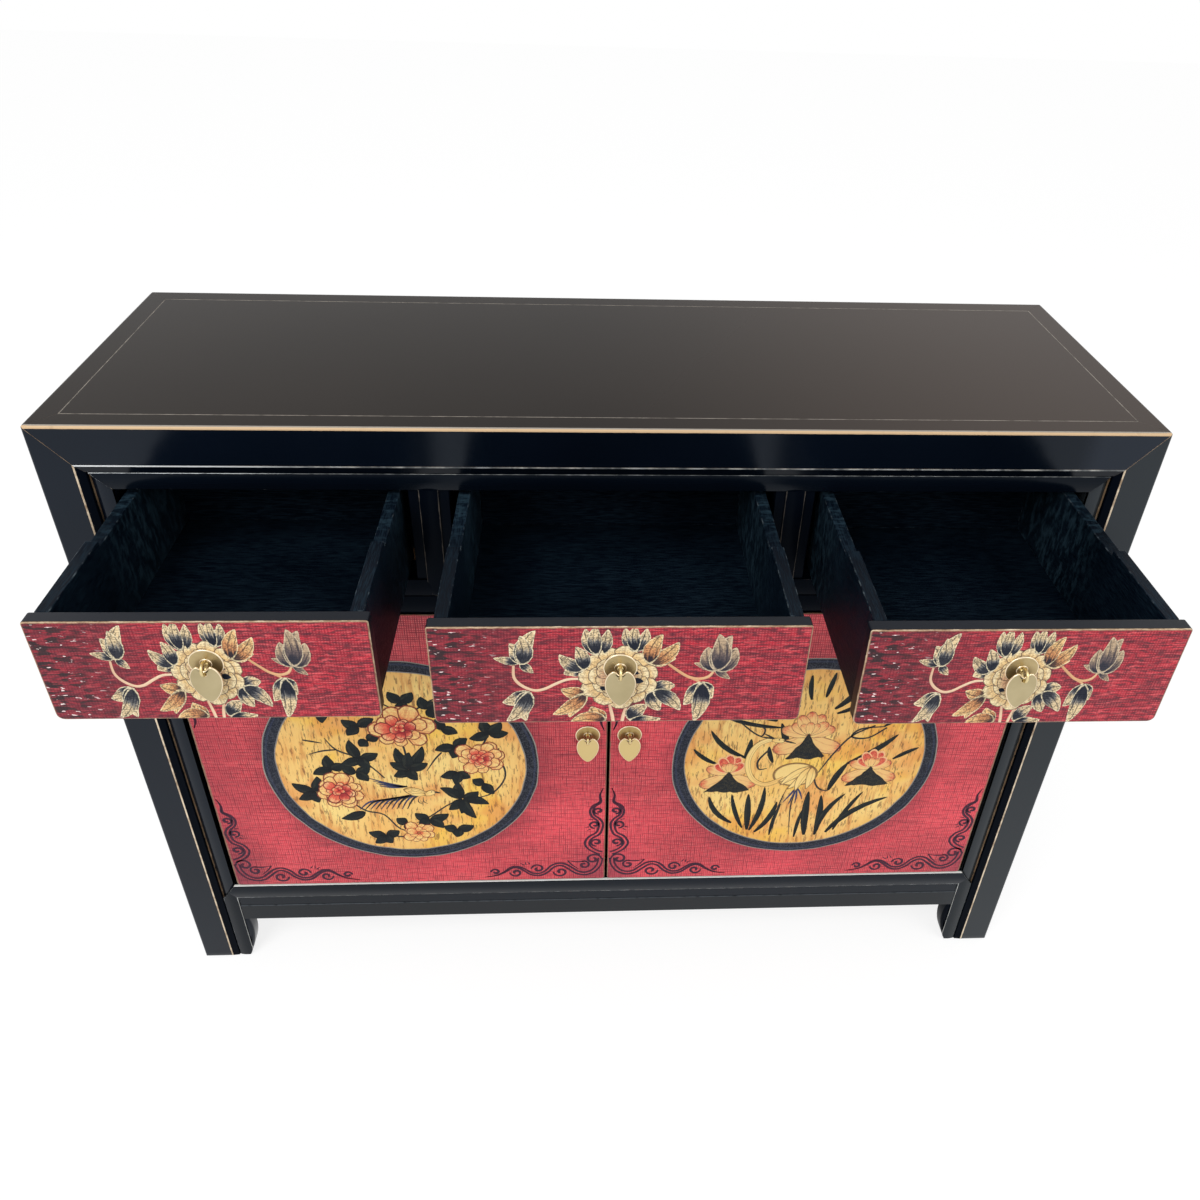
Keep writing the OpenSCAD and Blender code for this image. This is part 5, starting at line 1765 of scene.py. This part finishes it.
leaf_navy = paint("leaf_navy", "#081224 #7a7a7a #eed4a6 #f6e8c4 #1e2230", (0.3, 0.5, 0.42, 0.64),
                  vein_share=0.75, flecks=0.6, gloss=0.2)
leaf_tan = paint("leaf_tan", "#0c1628 #d49462 #f0c68a #f6e2b4 #3c2c2c", (0.16, 0.38, 0.4, 0.7),
                 vein_share=0.7, flecks=0.55, gloss=0.2)
rosette_cream = paint("rosette_cream", "#d6966e #f0ce92 #f8e6b8 #422e2e #8c6046", rim_from=0.88,
                      rim_share=0.9, veins=8.0, fleck="#78543c")
heart_cream = paint("heart_cream", "#181e32 #ecbe96 #f4d8a4 #422e2e #8c5c42", (0.16, 0.34, 0.5, 0.9), 0.88)
bud_grey = paint("bud_grey", "#0e182c #645654 #ccb08e #dcc8a8 #282430", (0.2, 0.42, 0.42, 0.76),
                 vein_share=0.7, flecks=0.45)
STEM = {"rim_from": 0.9, "rim_share": 0.6, "veins": 3.0}
stem_cream = paint("stem_cream", "#deb898 #eeceac #f2d8b8 #965c48 #b88064", **STEM)
stem_tan = paint("stem_tan", "#d6a478 #e2b080 #e8c094 #784436 #aa7050", **STEM)
navy_deep = paint("navy_deep", "#081020 #0e182a #1e283a #3c4250 #0a101c", veins=3.0, gloss=0.15)
print("paints of the sprays:", leaf_navy.name, leaf_tan.name, rosette_cream.name)

# %% [markdown]
# ## The drawers' spray
# All three drawers carry the same spray: a big open flower behind the pull, three lobed leaves
# around it, and a bud and a hanging leaf at the end of a curved stem on each side. Leaves are
# dark blue at the root and cream at the tip. Some are cut off by the board's edge. The spray is
# drawn for the middle drawer, and drawn in sideways to suit the narrower ones.

# %% Spray
SPRAY_PAINTS = [drawer_red, leaf_navy, leaf_tan, rosette_cream, heart_cream, bud_grey, stem_cream, stem_tan,
                navy_deep]
NAVY, TAN_LEAF, CREAM, HEART, BUD, STEM, STEM_TAN, NAVY_DEEP = range(1, 9)
SPRAY_Z, PRINT_W = 756.0, 349.0


def paint_spray():
    """The spray, in millimetres from the flower's centre."""
    spray = Painting(3)
    spray.limits = (FRONT_LOW - SPRAY_Z + 1.2, FRONT_HIGH - SPRAY_Z - 2.0)
    spray.line([(-98, 14), (-98, 0), (-92, -9.5), (-81, -16), (-71, -15), (-59, -8), (-48, -3), (-36, -2.5)],
               3.2, STEM, 1, ends=(0.7, 0.8), wobble=0.1)
    spray.line([(43, 16), (55, 5.5), (64, -1), (74, -3.5), (83, -0.5), (88, 8)], 2.9, STEM_TAN, 1,
               ends=(0.8, 0.6), wobble=0.1)
    spray.line([(64, -1.5), (71, -5), (77, -9)], 2.4, STEM_TAN, 0, ends=(0.9, 0.6))
    spray.line([(-9.4, -34), (-6.3, -50), (-5, -62)], 3.4, STEM, 1, ends=(0.8, 0.9))
    spray.line([(7.6, -34), (4, -50), (2.7, -62)], 3.4, STEM, 1, ends=(0.8, 0.9))
    spray.fan((-21, 26), [(-32, 57), (-12, 56), (-22, 61)], 14, NAVY, 1, bend=0.08)
    spray.fan((14, 30), [(4, 58), (23, 57), (13.5, 61)], 13, NAVY, 1, bend=0.08)
    spray.fan((27, 15), [(51, 21), (53, 41), (38, 50)], 17, TAN_LEAF, 1, bend=0.1)
    spray.fan((-34, 8), [(-52, 3), (-56, 27), (-41, 36)], 15, NAVY, 1, bend=-0.1)
    spray.fan((-31, -21), [(-55, -15), (-47, -51), (-63, -47)], 16, TAN_LEAF, 1, bend=0.08)
    spray.fan((31, -18), [(52, -12), (39, -43), (58, -43)], 17, NAVY, 1, bend=0.1)
    spray.fan((-12, -55), [(-26, -37), (-46, -57)], 17, TAN_LEAF, 1, bend=0.12)
    spray.fan((10, -55), [(27, -36), (40, -53)], 17, NAVY, 1, bend=0.12)
    spray.fan((-92, 17), [(-116, 23), (-80, 5)], 9.5, NAVY, 1)
    spray.fan((-91, 15), [(-101, 40), (-77, 55), (-91, 49)], 17, NAVY, 2, bend=-0.1)
    spray.fan((-85, -17), [(-110, -31), (-88, -55), (-107, -55)], 17, NAVY, 2, bend=0.12)
    spray.fan((88, 8), [(68, 16), (103, -4)], 8, BUD, 1)
    spray.fan((89.5, 6), [(80, 35), (106, 34), (101, 48), (89, 50)], 20, BUD, 2, bend=0.08)
    spray.fan((76.5, -7), [(61, -36), (88, -28), (72, -58)], 18, NAVY, 1, bend=0.06)
    grow_lines(spray)
    spray.limits = (-NO_LIMIT, NO_LIMIT)
    centre = [(-1, -1, 1.0, 0.2)]
    grow_rosettes(spray, centre, CREAM, 11, 18.0, 20.0, 22.0, 0.14, seed=2, uneven=0.1)
    grow_rosettes(spray, centre, CREAM, 9, 11.0, 17.0, 21.0, 0.3, seed=4)
    grow_rosettes(spray, centre, HEART, 8, 4.0, 18.0, 18.0, 0.5, seed=5, uneven=0.14)
    for spot, size in (((17, -4), 5.0), ((14, 6), 3.6), ((-15, -13), 3.6), ((-4, 19), 3.0)):
        spray.petal((spot[0] - size, spot[1]), (spot[0] + size, spot[1] - 2), size * 1.4, NAVY_DEEP, 14)
    return spray


for which, (middle, width, out) in DRAWERS.items():
    spray = paint_spray()
    spray.corners = [(u * width / PRINT_W, v, w) for u, v, w in spray.corners]
    hang_painting(spray, f"piece_drawer_{which}_spray", f"drawer_{which}", FACE_Y - out,
                  (middle, SPRAY_Z), (middle - width / 2, FRONT_LOW), SPRAY_PAINTS)
# %% [markdown]
# ## Paintings on the doors
# Each door has a round picture on a gold ground inside a dark blue ring, as such cabinets often
# do: peonies with a bird on the left, and lotus with an egret on the right. Running scrolls fill
# the corners of the red field.

# %% Paints of the doors
gold_ground, t, shader = new_material("gold_ground", Specular_IOR_Level=0.3)
drips = t.noise((150, 1, 20), 1.0, 4, 0.6)
dashes = t.noise((310, 1, 60), 1.0, 4, 0.65)
near_ring = t.scaled(drips, 0.4, t.split(t.attribute("petal", "Vector"))["Z"])
ground = t.blend(t.use(clouds, size=14.0, soft=0.2)["Value"], "#fac26c", "#ffde8a")
for mask, low, high, share, tone in (
        (t.noise((8, 8, 8), 1.0, 3, 0.6), 0.5, 0.62, 0.7, "#ffcc48"),
        (t.noise((12, 9, 12), 1.0, 3, 0.6), 0.52, 0.64, 0.5, "#ea8e46"),
        (drips, 0.52, 0.64, 0.55, "#ce8240"), (dashes, 0.545, 0.62, 0.68, "#684026"),
        (near_ring, 0.95, 1.25, 0.4, "#de8c42")):
    ground = t.cover(ground, t.fade(mask, low, high), share, tone)
t.surface(shader, ground, t.scaled(dashes, 0.2, 0.34), drips, 0.15, 0.4)

DOOR_PAINTS = [
    gold_ground,
    paint("ring_navy", "#121621 #181e2d #141826 #b0aaa0 #3c4462", rim_from=0.8, rim_share=0.75, veins=4.0,
          rough=0.3, gloss=0.14, fleck="#585c66"),
    paint("scroll_ink", "#22182e #2c1a30 #30182e #20142c #463250", rim_from=0.6, rim_share=0.8, veins=1.0,
          flecks=0.26, gloss=0.2, fleck="#962c42"),
    paint("leaf_black", "#0e1418 #161e20 #1c2626 #0c1012 #46483c", veins=3.2, vein_share=0.3, gloss=0.15),
    paint("ink", "#14181c #1a1e22 #22262a #101216 #3c3c38", vein_share=0.1),
    paint("feather_blue", "#1e2446 #343c68 #282e4e #3c405c #606482", rim_from=0.8, rim_share=0.5, veins=3.0),
    paint("peony_pale", "#e26640 #fccc7e #ffe090 #70281e #ce7046", veins=7.0, rim_from=0.82, rim_share=1.0),
    paint("peony_rose", "#ce282a #ee7454 #fed494 #681618 #be4238", (0.15, 0.45, 0.5, 0.85), 0.8, 1.0),
    paint("peony_heart", "#9e1824 #e2604c #fcc892 #64121a #b03030", (0.25, 0.6, 0.6, 0.9), 0.8, 0.95),
    paint("lotus_peach", "#f8d488 #f8c680 #de523e #863226 #ce7c4e", (0.1, 0.4, 0.66, 0.95), veins=8.0),
    paint("lotus_red", "#f6aa74 #e65c48 #ce282c #ffd6a0 #a02428", (0.1, 0.4, 0.5, 0.9), 0.78),
    paint("egret_gold", "#f6c876 #fedc8c #ffe096 #74502c #966a38", rim_from=0.84, rim_share=0.95, veins=6.0,
          flecks=0.2),
    paint("flecked_leaf", "#10151a #161d22 #1a2126 #1e2022 #383c3c", veins=5.0, flecks=0.12, gloss=0.15,
          fleck="#8c7a54")]
GOLD, RING, SCROLL, LEAF, INK, FEATHER, PALE, ROSE, HEART_RED, PEACH, LOTUS_RED, EGRET, POD = range(13)
print("paints of the doors:", len(DOOR_PAINTS))

# %% Roundels and corner scrolls
PICTURE_X, PICTURE_Z, PICTURE_UP = 264.0, 400.0, -3.3
RING_MIDDLE, RING_WIDTH, RING_TALL, RING_POINTS = 169.0, 18.0, 1.015, 60
LINES_APART, LINE_W, CURL_W, TICK_W, SWELL = 5.2, 3.3, 4.5, 2.2, 1.12
CURL_POINTS = 15
FLOOR_STEM = [
    (4, 40), (6, 27), (13, 15), (23, 10), (33, 12), (42, 20), (50, 27), (58, 28.5), (66, 24), (73, 15), (82,
    9.5), (92, 11), (100, 18), (108, 24), (117, 24), (126, 16), (137, 9), (152, 6)]
POST_STEM = [
    (49, 2), (53, 9), (60, 16), (69, 19), (79, 15), (86, 7), (94, 4), (104, 3), (112, 6), (119, 12), (128,
    14), (137, 11), (144, 4), (156, 4.5), (168, 1)]
FLOOR_CURLS = [
    (13, 38, 9.5, 180, -1, 1.2), (25, 27, 6.8, 70, 1, 1.15), (55, 14, 8.5, 0, -1, 1.15), (84, 21, 7.5, 0, 1,
    1.15), (112, 14, 7.0, 0, -1, 1.1), (138, 16, 5.0, 0, 1, 1.0)]
POST_CURLS = [
    (70, 8, 6.5, 180, -1, 1.15), (103, 10, 6.0, 180, -1, 1.1), (128, 6, 5.0, 180, -1, 1.1)]
FLOOR_TICKS = [
    [(25, 34), (35, 33), (46, 36)], [(46, 36), (40, 27), (32, 19)], [(94, 30), (97, 35)], [(99, 29), (99.5,
    35)], [(101, 28), (106, 32)]]
POST_TICKS = [
    [(95, 15), (92, 19)], [(99, 17), (98, 21)], [(112, 12), (113, 17)]]


def beside(path, apart):
    """Two lines, one on each side of a path, that draw together at its far end."""
    flat = np.array(path, float)
    way = np.gradient(flat, axis=0)
    way /= np.linalg.norm(way, axis=1, keepdims=True)
    across = np.stack([-way[:, 1], way[:, 0]], 1)
    share = 1 - np.linspace(0, 1, len(flat))[:, None] ** 3
    return [flat + sign * 0.5 * apart * share * across for sign in (-1, 1)]


def paint_scroll(picture, at, stem, curls, ticks):
    """A running scroll in two thin lines, with a curl in each hollow. at places a point in the corner."""
    for path in beside(stem, LINES_APART):
        picture.line([at(a, b) for a, b in path], LINE_W, SCROLL, 1, ends=(0.8, 0.3), wobble=0.1)
    for a, b, reach, first, sense, turns in curls:
        curl = []
        for i in range(CURL_POINTS):
            t = i / (CURL_POINTS - 1)
            angle = math.radians(first + sense * 360 * turns * t)
            radius = reach * (1 - t) ** 0.8 + 0.8
            curl.append(at(a + radius * math.cos(angle), b + radius * math.sin(angle)))
        picture.line(curl, CURL_W, SCROLL, 1, ends=(0.6, 1.1), wobble=0.1)
    for path in ticks:
        picture.line([at(a, b) for a, b in path], TICK_W, SCROLL, 1, ends=(0.9, 0.3))


# %% The start of a picture


def begin_picture(seed, across, sign):
    """The gold ground, its ring, a little taller than wide, and scrolls in the door's four corners."""
    picture = Painting(seed)
    picture.disc((across, PICTURE_UP), RING_MIDDLE, GOLD, 0, tall=RING_TALL)
    picture.line([(across + RING_MIDDLE * u, PICTURE_UP + RING_TALL * RING_MIDDLE * v)
                  for u, v in circle(RING_POINTS)], RING_WIDTH, RING, 3, closed=True, wobble=0.07)
    centre = sign * PICTURE_X
    for x, tall in ((sign * (DOOR_EDGE - HEEL_R), 0.94), (sign * DOOR_GAP, 1.0)):
        step = 1 if x < centre else -1
        for z, up in ((DOOR_LOW + 1, 1), (DOOR_HIGH - 1, -1)):
            corner = (x - centre, z - PICTURE_Z)

            def along_floor(a, b):
                return (corner[0] + step * a * SWELL, corner[1] + up * b * SWELL)

            def along_post(a, b):
                return (corner[0] + step * (b * 1.2 + 1), corner[1] + up * a * tall * SWELL)

            paint_scroll(picture, along_floor, FLOOR_STEM, FLOOR_CURLS, FLOOR_TICKS)
            paint_scroll(picture, along_post, POST_STEM, POST_CURLS, POST_TICKS)
    return picture


# %% Peonies and a bird
LEAVES = [
    ((-58, 13), [(-67, 43), (-36, 21), (-81, 4), (-47, -3)]), ((3, -6), [(-9, 28), (22, 30), (-18, 4), (26,
    2)]), ((3, -8), [(-16, -20), (12, -27), (6, 20)]), ((-96, -8), [(-99, 17), (-119, -15), (-79, 0)]),
    ((-66, -14), [(-81, -1), (-49, -4), (-53, -28)]), ((-124, -48), [(-149, -33), (-118, -22), (-145, -61),
    (-121, -67)]), ((-52, 68), [(-71, 80), (-67, 55), (-34, 81)]), ((-44, 44), [(-29, 53), (-54, 35)]),
    ((50, 62), [(69, 56), (44, 79)]), ((110, 56), [(105, 77), (133, 56), (87, 47), (125, 73)]), ((66, 30),
    [(81, 45), (42, 26), (61, 13)]), ((66, -14), [(45, -22), (81, -24), (61, -35)]), ((100, -36), [(86,
    -29), (111, -55)]), ((68, -66), [(66, -36), (43, -46), (51, -85), (84, -101)]), ((70, -66), [(101, -76),
    (89, -53), (66, -92)]), ((-63, -88), [(-93, -100)]), ((-40, -136), [(-61, -130), (-23, -128), (-55,
    -151), (-33, -151)]), ((22, -106), [(5, -94), (46, -96), (38, -122), (10, -119)]), ((58, -126), [(42,
    -120), (79, -120), (56, -141)]), ((-8, -112), [(-21, -103), (-2, -127)]), ((4, 110), [(-9, 126), (18,
    125), (3, 98)]), ((36, 98), [(30, 117), (49, 86), (53, 106)]), ((-92, 100), [(-112, 108), (-96, 78),
    (-78, 116)]), ((-60, 120), [(-76, 134), (-44, 136), (-54, 102)]), ((86, 108), [(104, 118), (74, 126),
    (98, 90)])]
BRANCHES = [
    [(-30, -24), (-44, -4), (-60, 14), (-86, 29), (-98, 50)], [(-86, 29), (-104, 27), (-122, 21)], [(-126,
    47), (-114, 44), (-102, 41)], [(122, 28), (113, 12), (126, -4), (127, -28), (110, -55), (84, -66)],
    [(84, -66), (54, -74), (24, -99), (4, -112)], [(-82, -64), (-62, -86), (-38, -95), (-19, -124), (8,
    -132)], [(0, 34), (2, 15), (3, -4)], [(48, 22), (38, 9), (26, -12)], [(-6, 98), (-30, 114), (-60, 120),
    (-92, 100)], [(20, 96), (50, 116), (86, 108), (116, 84)], [(110, 56), (104, 40), (98, 30)], [(-40,
    -136), (-16, -140), (4, -134)]]
PEONIES = [(-90, -46, 0.84, 0.3), (0, 66, 1.0, 0.0), (97, 12, 0.78, 0.9)]
FAINT_PEONIES = [(5, -132, 0.62, 0.5)]
LEAF_REACH, LEAF_W = 1.1, 16.5
FEATHERS, QUILLS = 10, 4
PEONY_RINGS = [(PALE, 8, 13.0, 26.0, 24.0, 0.3, (0, 0)), (PALE, 7, 9.0, 22.0, 21.0, 0.35, (2, 3)),
               (ROSE, 7, 5.0, 20.0, 17.0, 0.35, (-3, -1)), (HEART_RED, 5, 2.0, 14.0, 13.0, 0.4, (3, -3)),
               (ROSE, 4, 0.5, 9.0, 8.0, 0.4, (-2, 1))]


def paint_bird(picture):
    """A small bird with a spread wing and tail, that hangs head up on a branch."""
    for i in range(QUILLS):
        tip = (-50 + 4 * i, -24 - 5 * i)
        bowed = ((tip[0] - 2) / 2, (tip[1] - 41) / 2 - 2)
        picture.line([(-2, -41), bowed, tip], 2.8, FEATHER, 5, ends=(0.6, 0.3))
    for i in range(FEATHERS):
        root = (24 - 6.4 * i, -51 - 1.6 * i)
        tip = (root[0] - 30 - 0.6 * i, root[1] - 33 + 1.6 * i)
        bowed = ((tip[0] + root[0]) / 2 - 4, (tip[1] + root[1]) / 2 + 5)
        picture.line([root, bowed, tip], 2.9, FEATHER if i % 2 else INK, 6, ends=(0.7, 0.3), wobble=0.1)
    picture.line([(26, -51), (0, -58), (-34, -74)], 1.4, INK, 6, ends=(0.6, 0.4))
    grow_lines(picture)
    picture.petal((-8, -46), (27, -57), 15, EGRET, 7)
    picture.fan((22, -56), [(2, -45), (-2, -50), (0, -56)], 6, EGRET, 8)
    picture.petal((20, -57), (34, -50), 10, EGRET, 10, "round")
    picture.petal((32, -51), (41, -54), 2.4, INK, 11)
    picture.disc((29, -51), 0.9, INK, 12, 10)
    picture.line([(12, -61), (10, -70), (15, -75)], 1.2, INK, 4)
    picture.line([(17, -61), (17, -70), (22, -74)], 1.2, INK, 4)
    grow_lines(picture)


def paint_peonies():
    """The left picture."""
    picture = begin_picture(11, -5, -1)
    for path in BRANCHES:
        picture.line(path, 2.4, INK, 2, ends=(0.9, 0.35), wobble=0.15)
    for root, tips in LEAVES:
        longer = [tuple(a + LEAF_REACH * (b - a) for a, b in zip(root, tip)) for tip in tips]
        picture.fan(root, longer, LEAF_W, LEAF, 3, bend=0.08)
    paint_bird(picture)
    grow_rosettes(picture, FAINT_PEONIES, PALE, 8, 9.0, 27.0, 24.0, 0.4, seed=4, uneven=0.25)
    grow_rosettes(picture, FAINT_PEONIES, PALE, 6, 2.0, 20.0, 17.0, 0.6, seed=8, uneven=0.3)
    for ring, (kind, count, reach, long, wide, loose, aside) in enumerate(PEONY_RINGS):
        moved = [(u + aside[0] * size, v + aside[1] * size, size, turn + ring)
                 for u, v, size, turn in PEONIES]
        grow_rosettes(picture, moved, kind, count, reach, long, wide, 0.45 + 0.2 * ring, 2 + ring, loose)
    return picture


# %% Lotus and an egret
BLADES = [
    ((-90, -122), (-125, -68), 6, 0.12), ((-74, -133), (-94, -64), 5, 0.04), ((-67, -137), (-71, -64), 7,
    0.0), ((-64, -138), (-50, -50), 6, -0.06), ((-56, -142), (-30, -80), 6, -0.08), ((-34, -149), (-24,
    -84), 4, 0.03), ((2, -154), (8, -96), 4, 0.02), ((16, -150), (12, -60), 8, 0.02), ((31, -150), (30,
    -68), 7, -0.03), ((32, -148), (64, -66), 6, 0.1), ((56, -140), (88, -62), 5, 0.04), ((46, -145), (124,
    -74), 7, 0.1), ((-82, 6), (-131, 56), 6, 0.1), ((-118, -6), (-152, 23), 5, 0.08), ((-83, 4), (-77, 40),
    6, -0.05), ((-25, 16), (-40, 68), 7, 0.0), ((-44, -4), (-52, 26), 5, 0.05), ((38, -59), (58, -6), 7,
    0.04), ((56, -8), (118, 46), 7, -0.05), ((118, 0), (150, 21), 5, 0.03), ((-30, 84), (-62, 140), 7,
    0.08), ((-20, 96), (-34, 152), 6, 0.04), ((26, 92), (60, 144), 7, -0.08), ((30, 84), (88, 122), 6,
    -0.06), ((-46, 72), (-104, 112), 7, 0.08), ((-40, 60), (-122, 84), 5, 0.06), ((12, 112), (20, 154), 5,
    0.0), ((96, 60), (134, 84), 5, 0.05), ((-6, 108), (-10, 150), 5, 0.04)]
STALKS = [
    [(84, 62), (56, 44), (36, 12), (20, -24)], [(15, -28), (19, -46), (27, -57), (38, -60)], [(-92, 68),
    (-76, 52), (-64, 45), (-61, 58), (-74, 66)], [(100, 58), (78, 40), (56, 42), (66, 56), (98, 60)], [(-50,
    22), (-64, 0), (-62, -16), (-51, -15)]]
LOTUS = [((-102, -24), 1.0, LOTUS_RED, 0.92), ((-2, 45), 1.18, PEACH, 0.66),
         ((90, -16), 0.96, LOTUS_RED, 0.92)]
LOTUS_CROWN = [(-19, 16), (19, 17), (-12, 27), (13, 28), (0, 32)]
LOTUS_LEAF = [(-34, -36), (-12, -14), (0, 4), (11, -12), (33, -32), (10, -37), (-14, -34)]
BLADE_WIDE = 1.35


def paint_lotus(picture, apex, size, crown, leaf_wide):
    """A lotus seen from the side: side petals, a crown and a dark leaf before it."""
    def at(u, v):
        return (apex[0] + u * size, apex[1] + v * size)

    for u, v in ((-39, -21), (40, -20)):
        picture.petal(at(0, 0), at(u, v), 23 * size, PEACH, 3, "round", 0.12 * (1 if u < 0 else -1))
    for u, v in ((-31, 11), (29, 11)):
        picture.petal(at(0, 0), at(u, v), 17 * size, PEACH, 4, "round")
    for i, (u, v) in enumerate(LOTUS_CROWN):
        picture.petal(at(0, 2), at(u * 1.05, v * 1.15), 15 * size, crown, 5 + i % 3, "round")
    for u, v in ((-9, 18), (10, 18), (0, 21)):
        picture.petal(at(0, 2), at(u, v), 10 * size, PEACH, 8 + (u == 0), "round")
    edge = []
    for here, there in zip(LOTUS_LEAF, LOTUS_LEAF[1:] + LOTUS_LEAF[:1]):
        for t in (0.0, 0.25, 0.5, 0.75):
            loose = 1.5 if t else 0.0
            u, v = (a + (b - a) * t + picture.hand.uniform(-loose, loose) for a, b in zip(here, there))
            edge.append(at(u * leaf_wide, v))
    picture.patch(edge, POD, 10)


def paint_egret(picture):
    """A white bird with a curled neck, in front of the reeds."""
    for path in ([(-20, -56), (-27, -90), (-31, -146)], [(-6, -58), (-10, -92), (-6, -148)]):
        picture.line(path, 1.8, INK, 5)
    for tip in ((-22, -82), (-14, -86), (-5, -84), (4, -76)):
        middle = ((tip[0] - 4) / 2, (tip[1] - 50) / 2)
        picture.line([(-6, -52), middle, tip], 2.6, FEATHER, 6, ends=(0.8, 0.3))
    neck = [(-26, -34), (-50, -46), (-70, -33), (-78, -2), (-70, 26), (-54, 38), (-41, 37)]
    picture.line(neck, 8.0, EGRET, 9, ends=(1.0, 0.8))
    grow_lines(picture)
    picture.disc((-11, -27), 31, EGRET, 8, 40, 0.72)
    picture.fan((10, -12), [(-34, -40), (-30, -48), (-20, -56), (-8, -60), (6, -56)], 13, EGRET, 9, bend=0.06)
    picture.petal((-50, 38), (-32, 36), 9, EGRET, 11, "round")
    picture.petal((-35, 37), (-17, 31), 2.6, INK, 12)
    picture.fan((-46, 40), [(-62, 50), (-66, 44)], 2.2, INK, 12)
    picture.disc((-40, 38.5), 1.0, INK, 13, 10)


def paint_lotus_pond():
    """The right picture."""
    picture = begin_picture(23, -1.5, 1)
    for root, tip, width, bend in BLADES:
        picture.petal(root, tip, width * BLADE_WIDE, LEAF, 2, "blade", bend)
    for path in STALKS:
        picture.line(path, 2.6, INK, 4, ends=(0.8, 0.5), wobble=0.15)
    for apex, size, crown, leaf_wide in LOTUS:
        paint_lotus(picture, apex, size, crown, leaf_wide)
    paint_egret(picture)
    return picture


# %% Hang the pictures
hang_painting(paint_peonies(), "piece_door_left_painting", "door_left", FACE_Y, (-PICTURE_X, PICTURE_Z),
              (-DOOR_EDGE, DOOR_LOW), DOOR_PAINTS)
hang_painting(paint_lotus_pond(), "piece_door_right_painting", "door_right", FACE_Y, (PICTURE_X, PICTURE_Z),
              (DOOR_GAP / 2, DOOR_LOW), DOOR_PAINTS)

# %% [markdown]
# ## Sizes at the end
# Both boxes, the CAD model's and the dressed cabinet's, are printed. The dressed cabinet
# must stay in the CAD model's box.

# %% Print the sizes and finish
visual_box = [list(corner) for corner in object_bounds()]
print("visual box in mm:", [[round(value / MM, 1) for value in corner] for corner in visual_box])
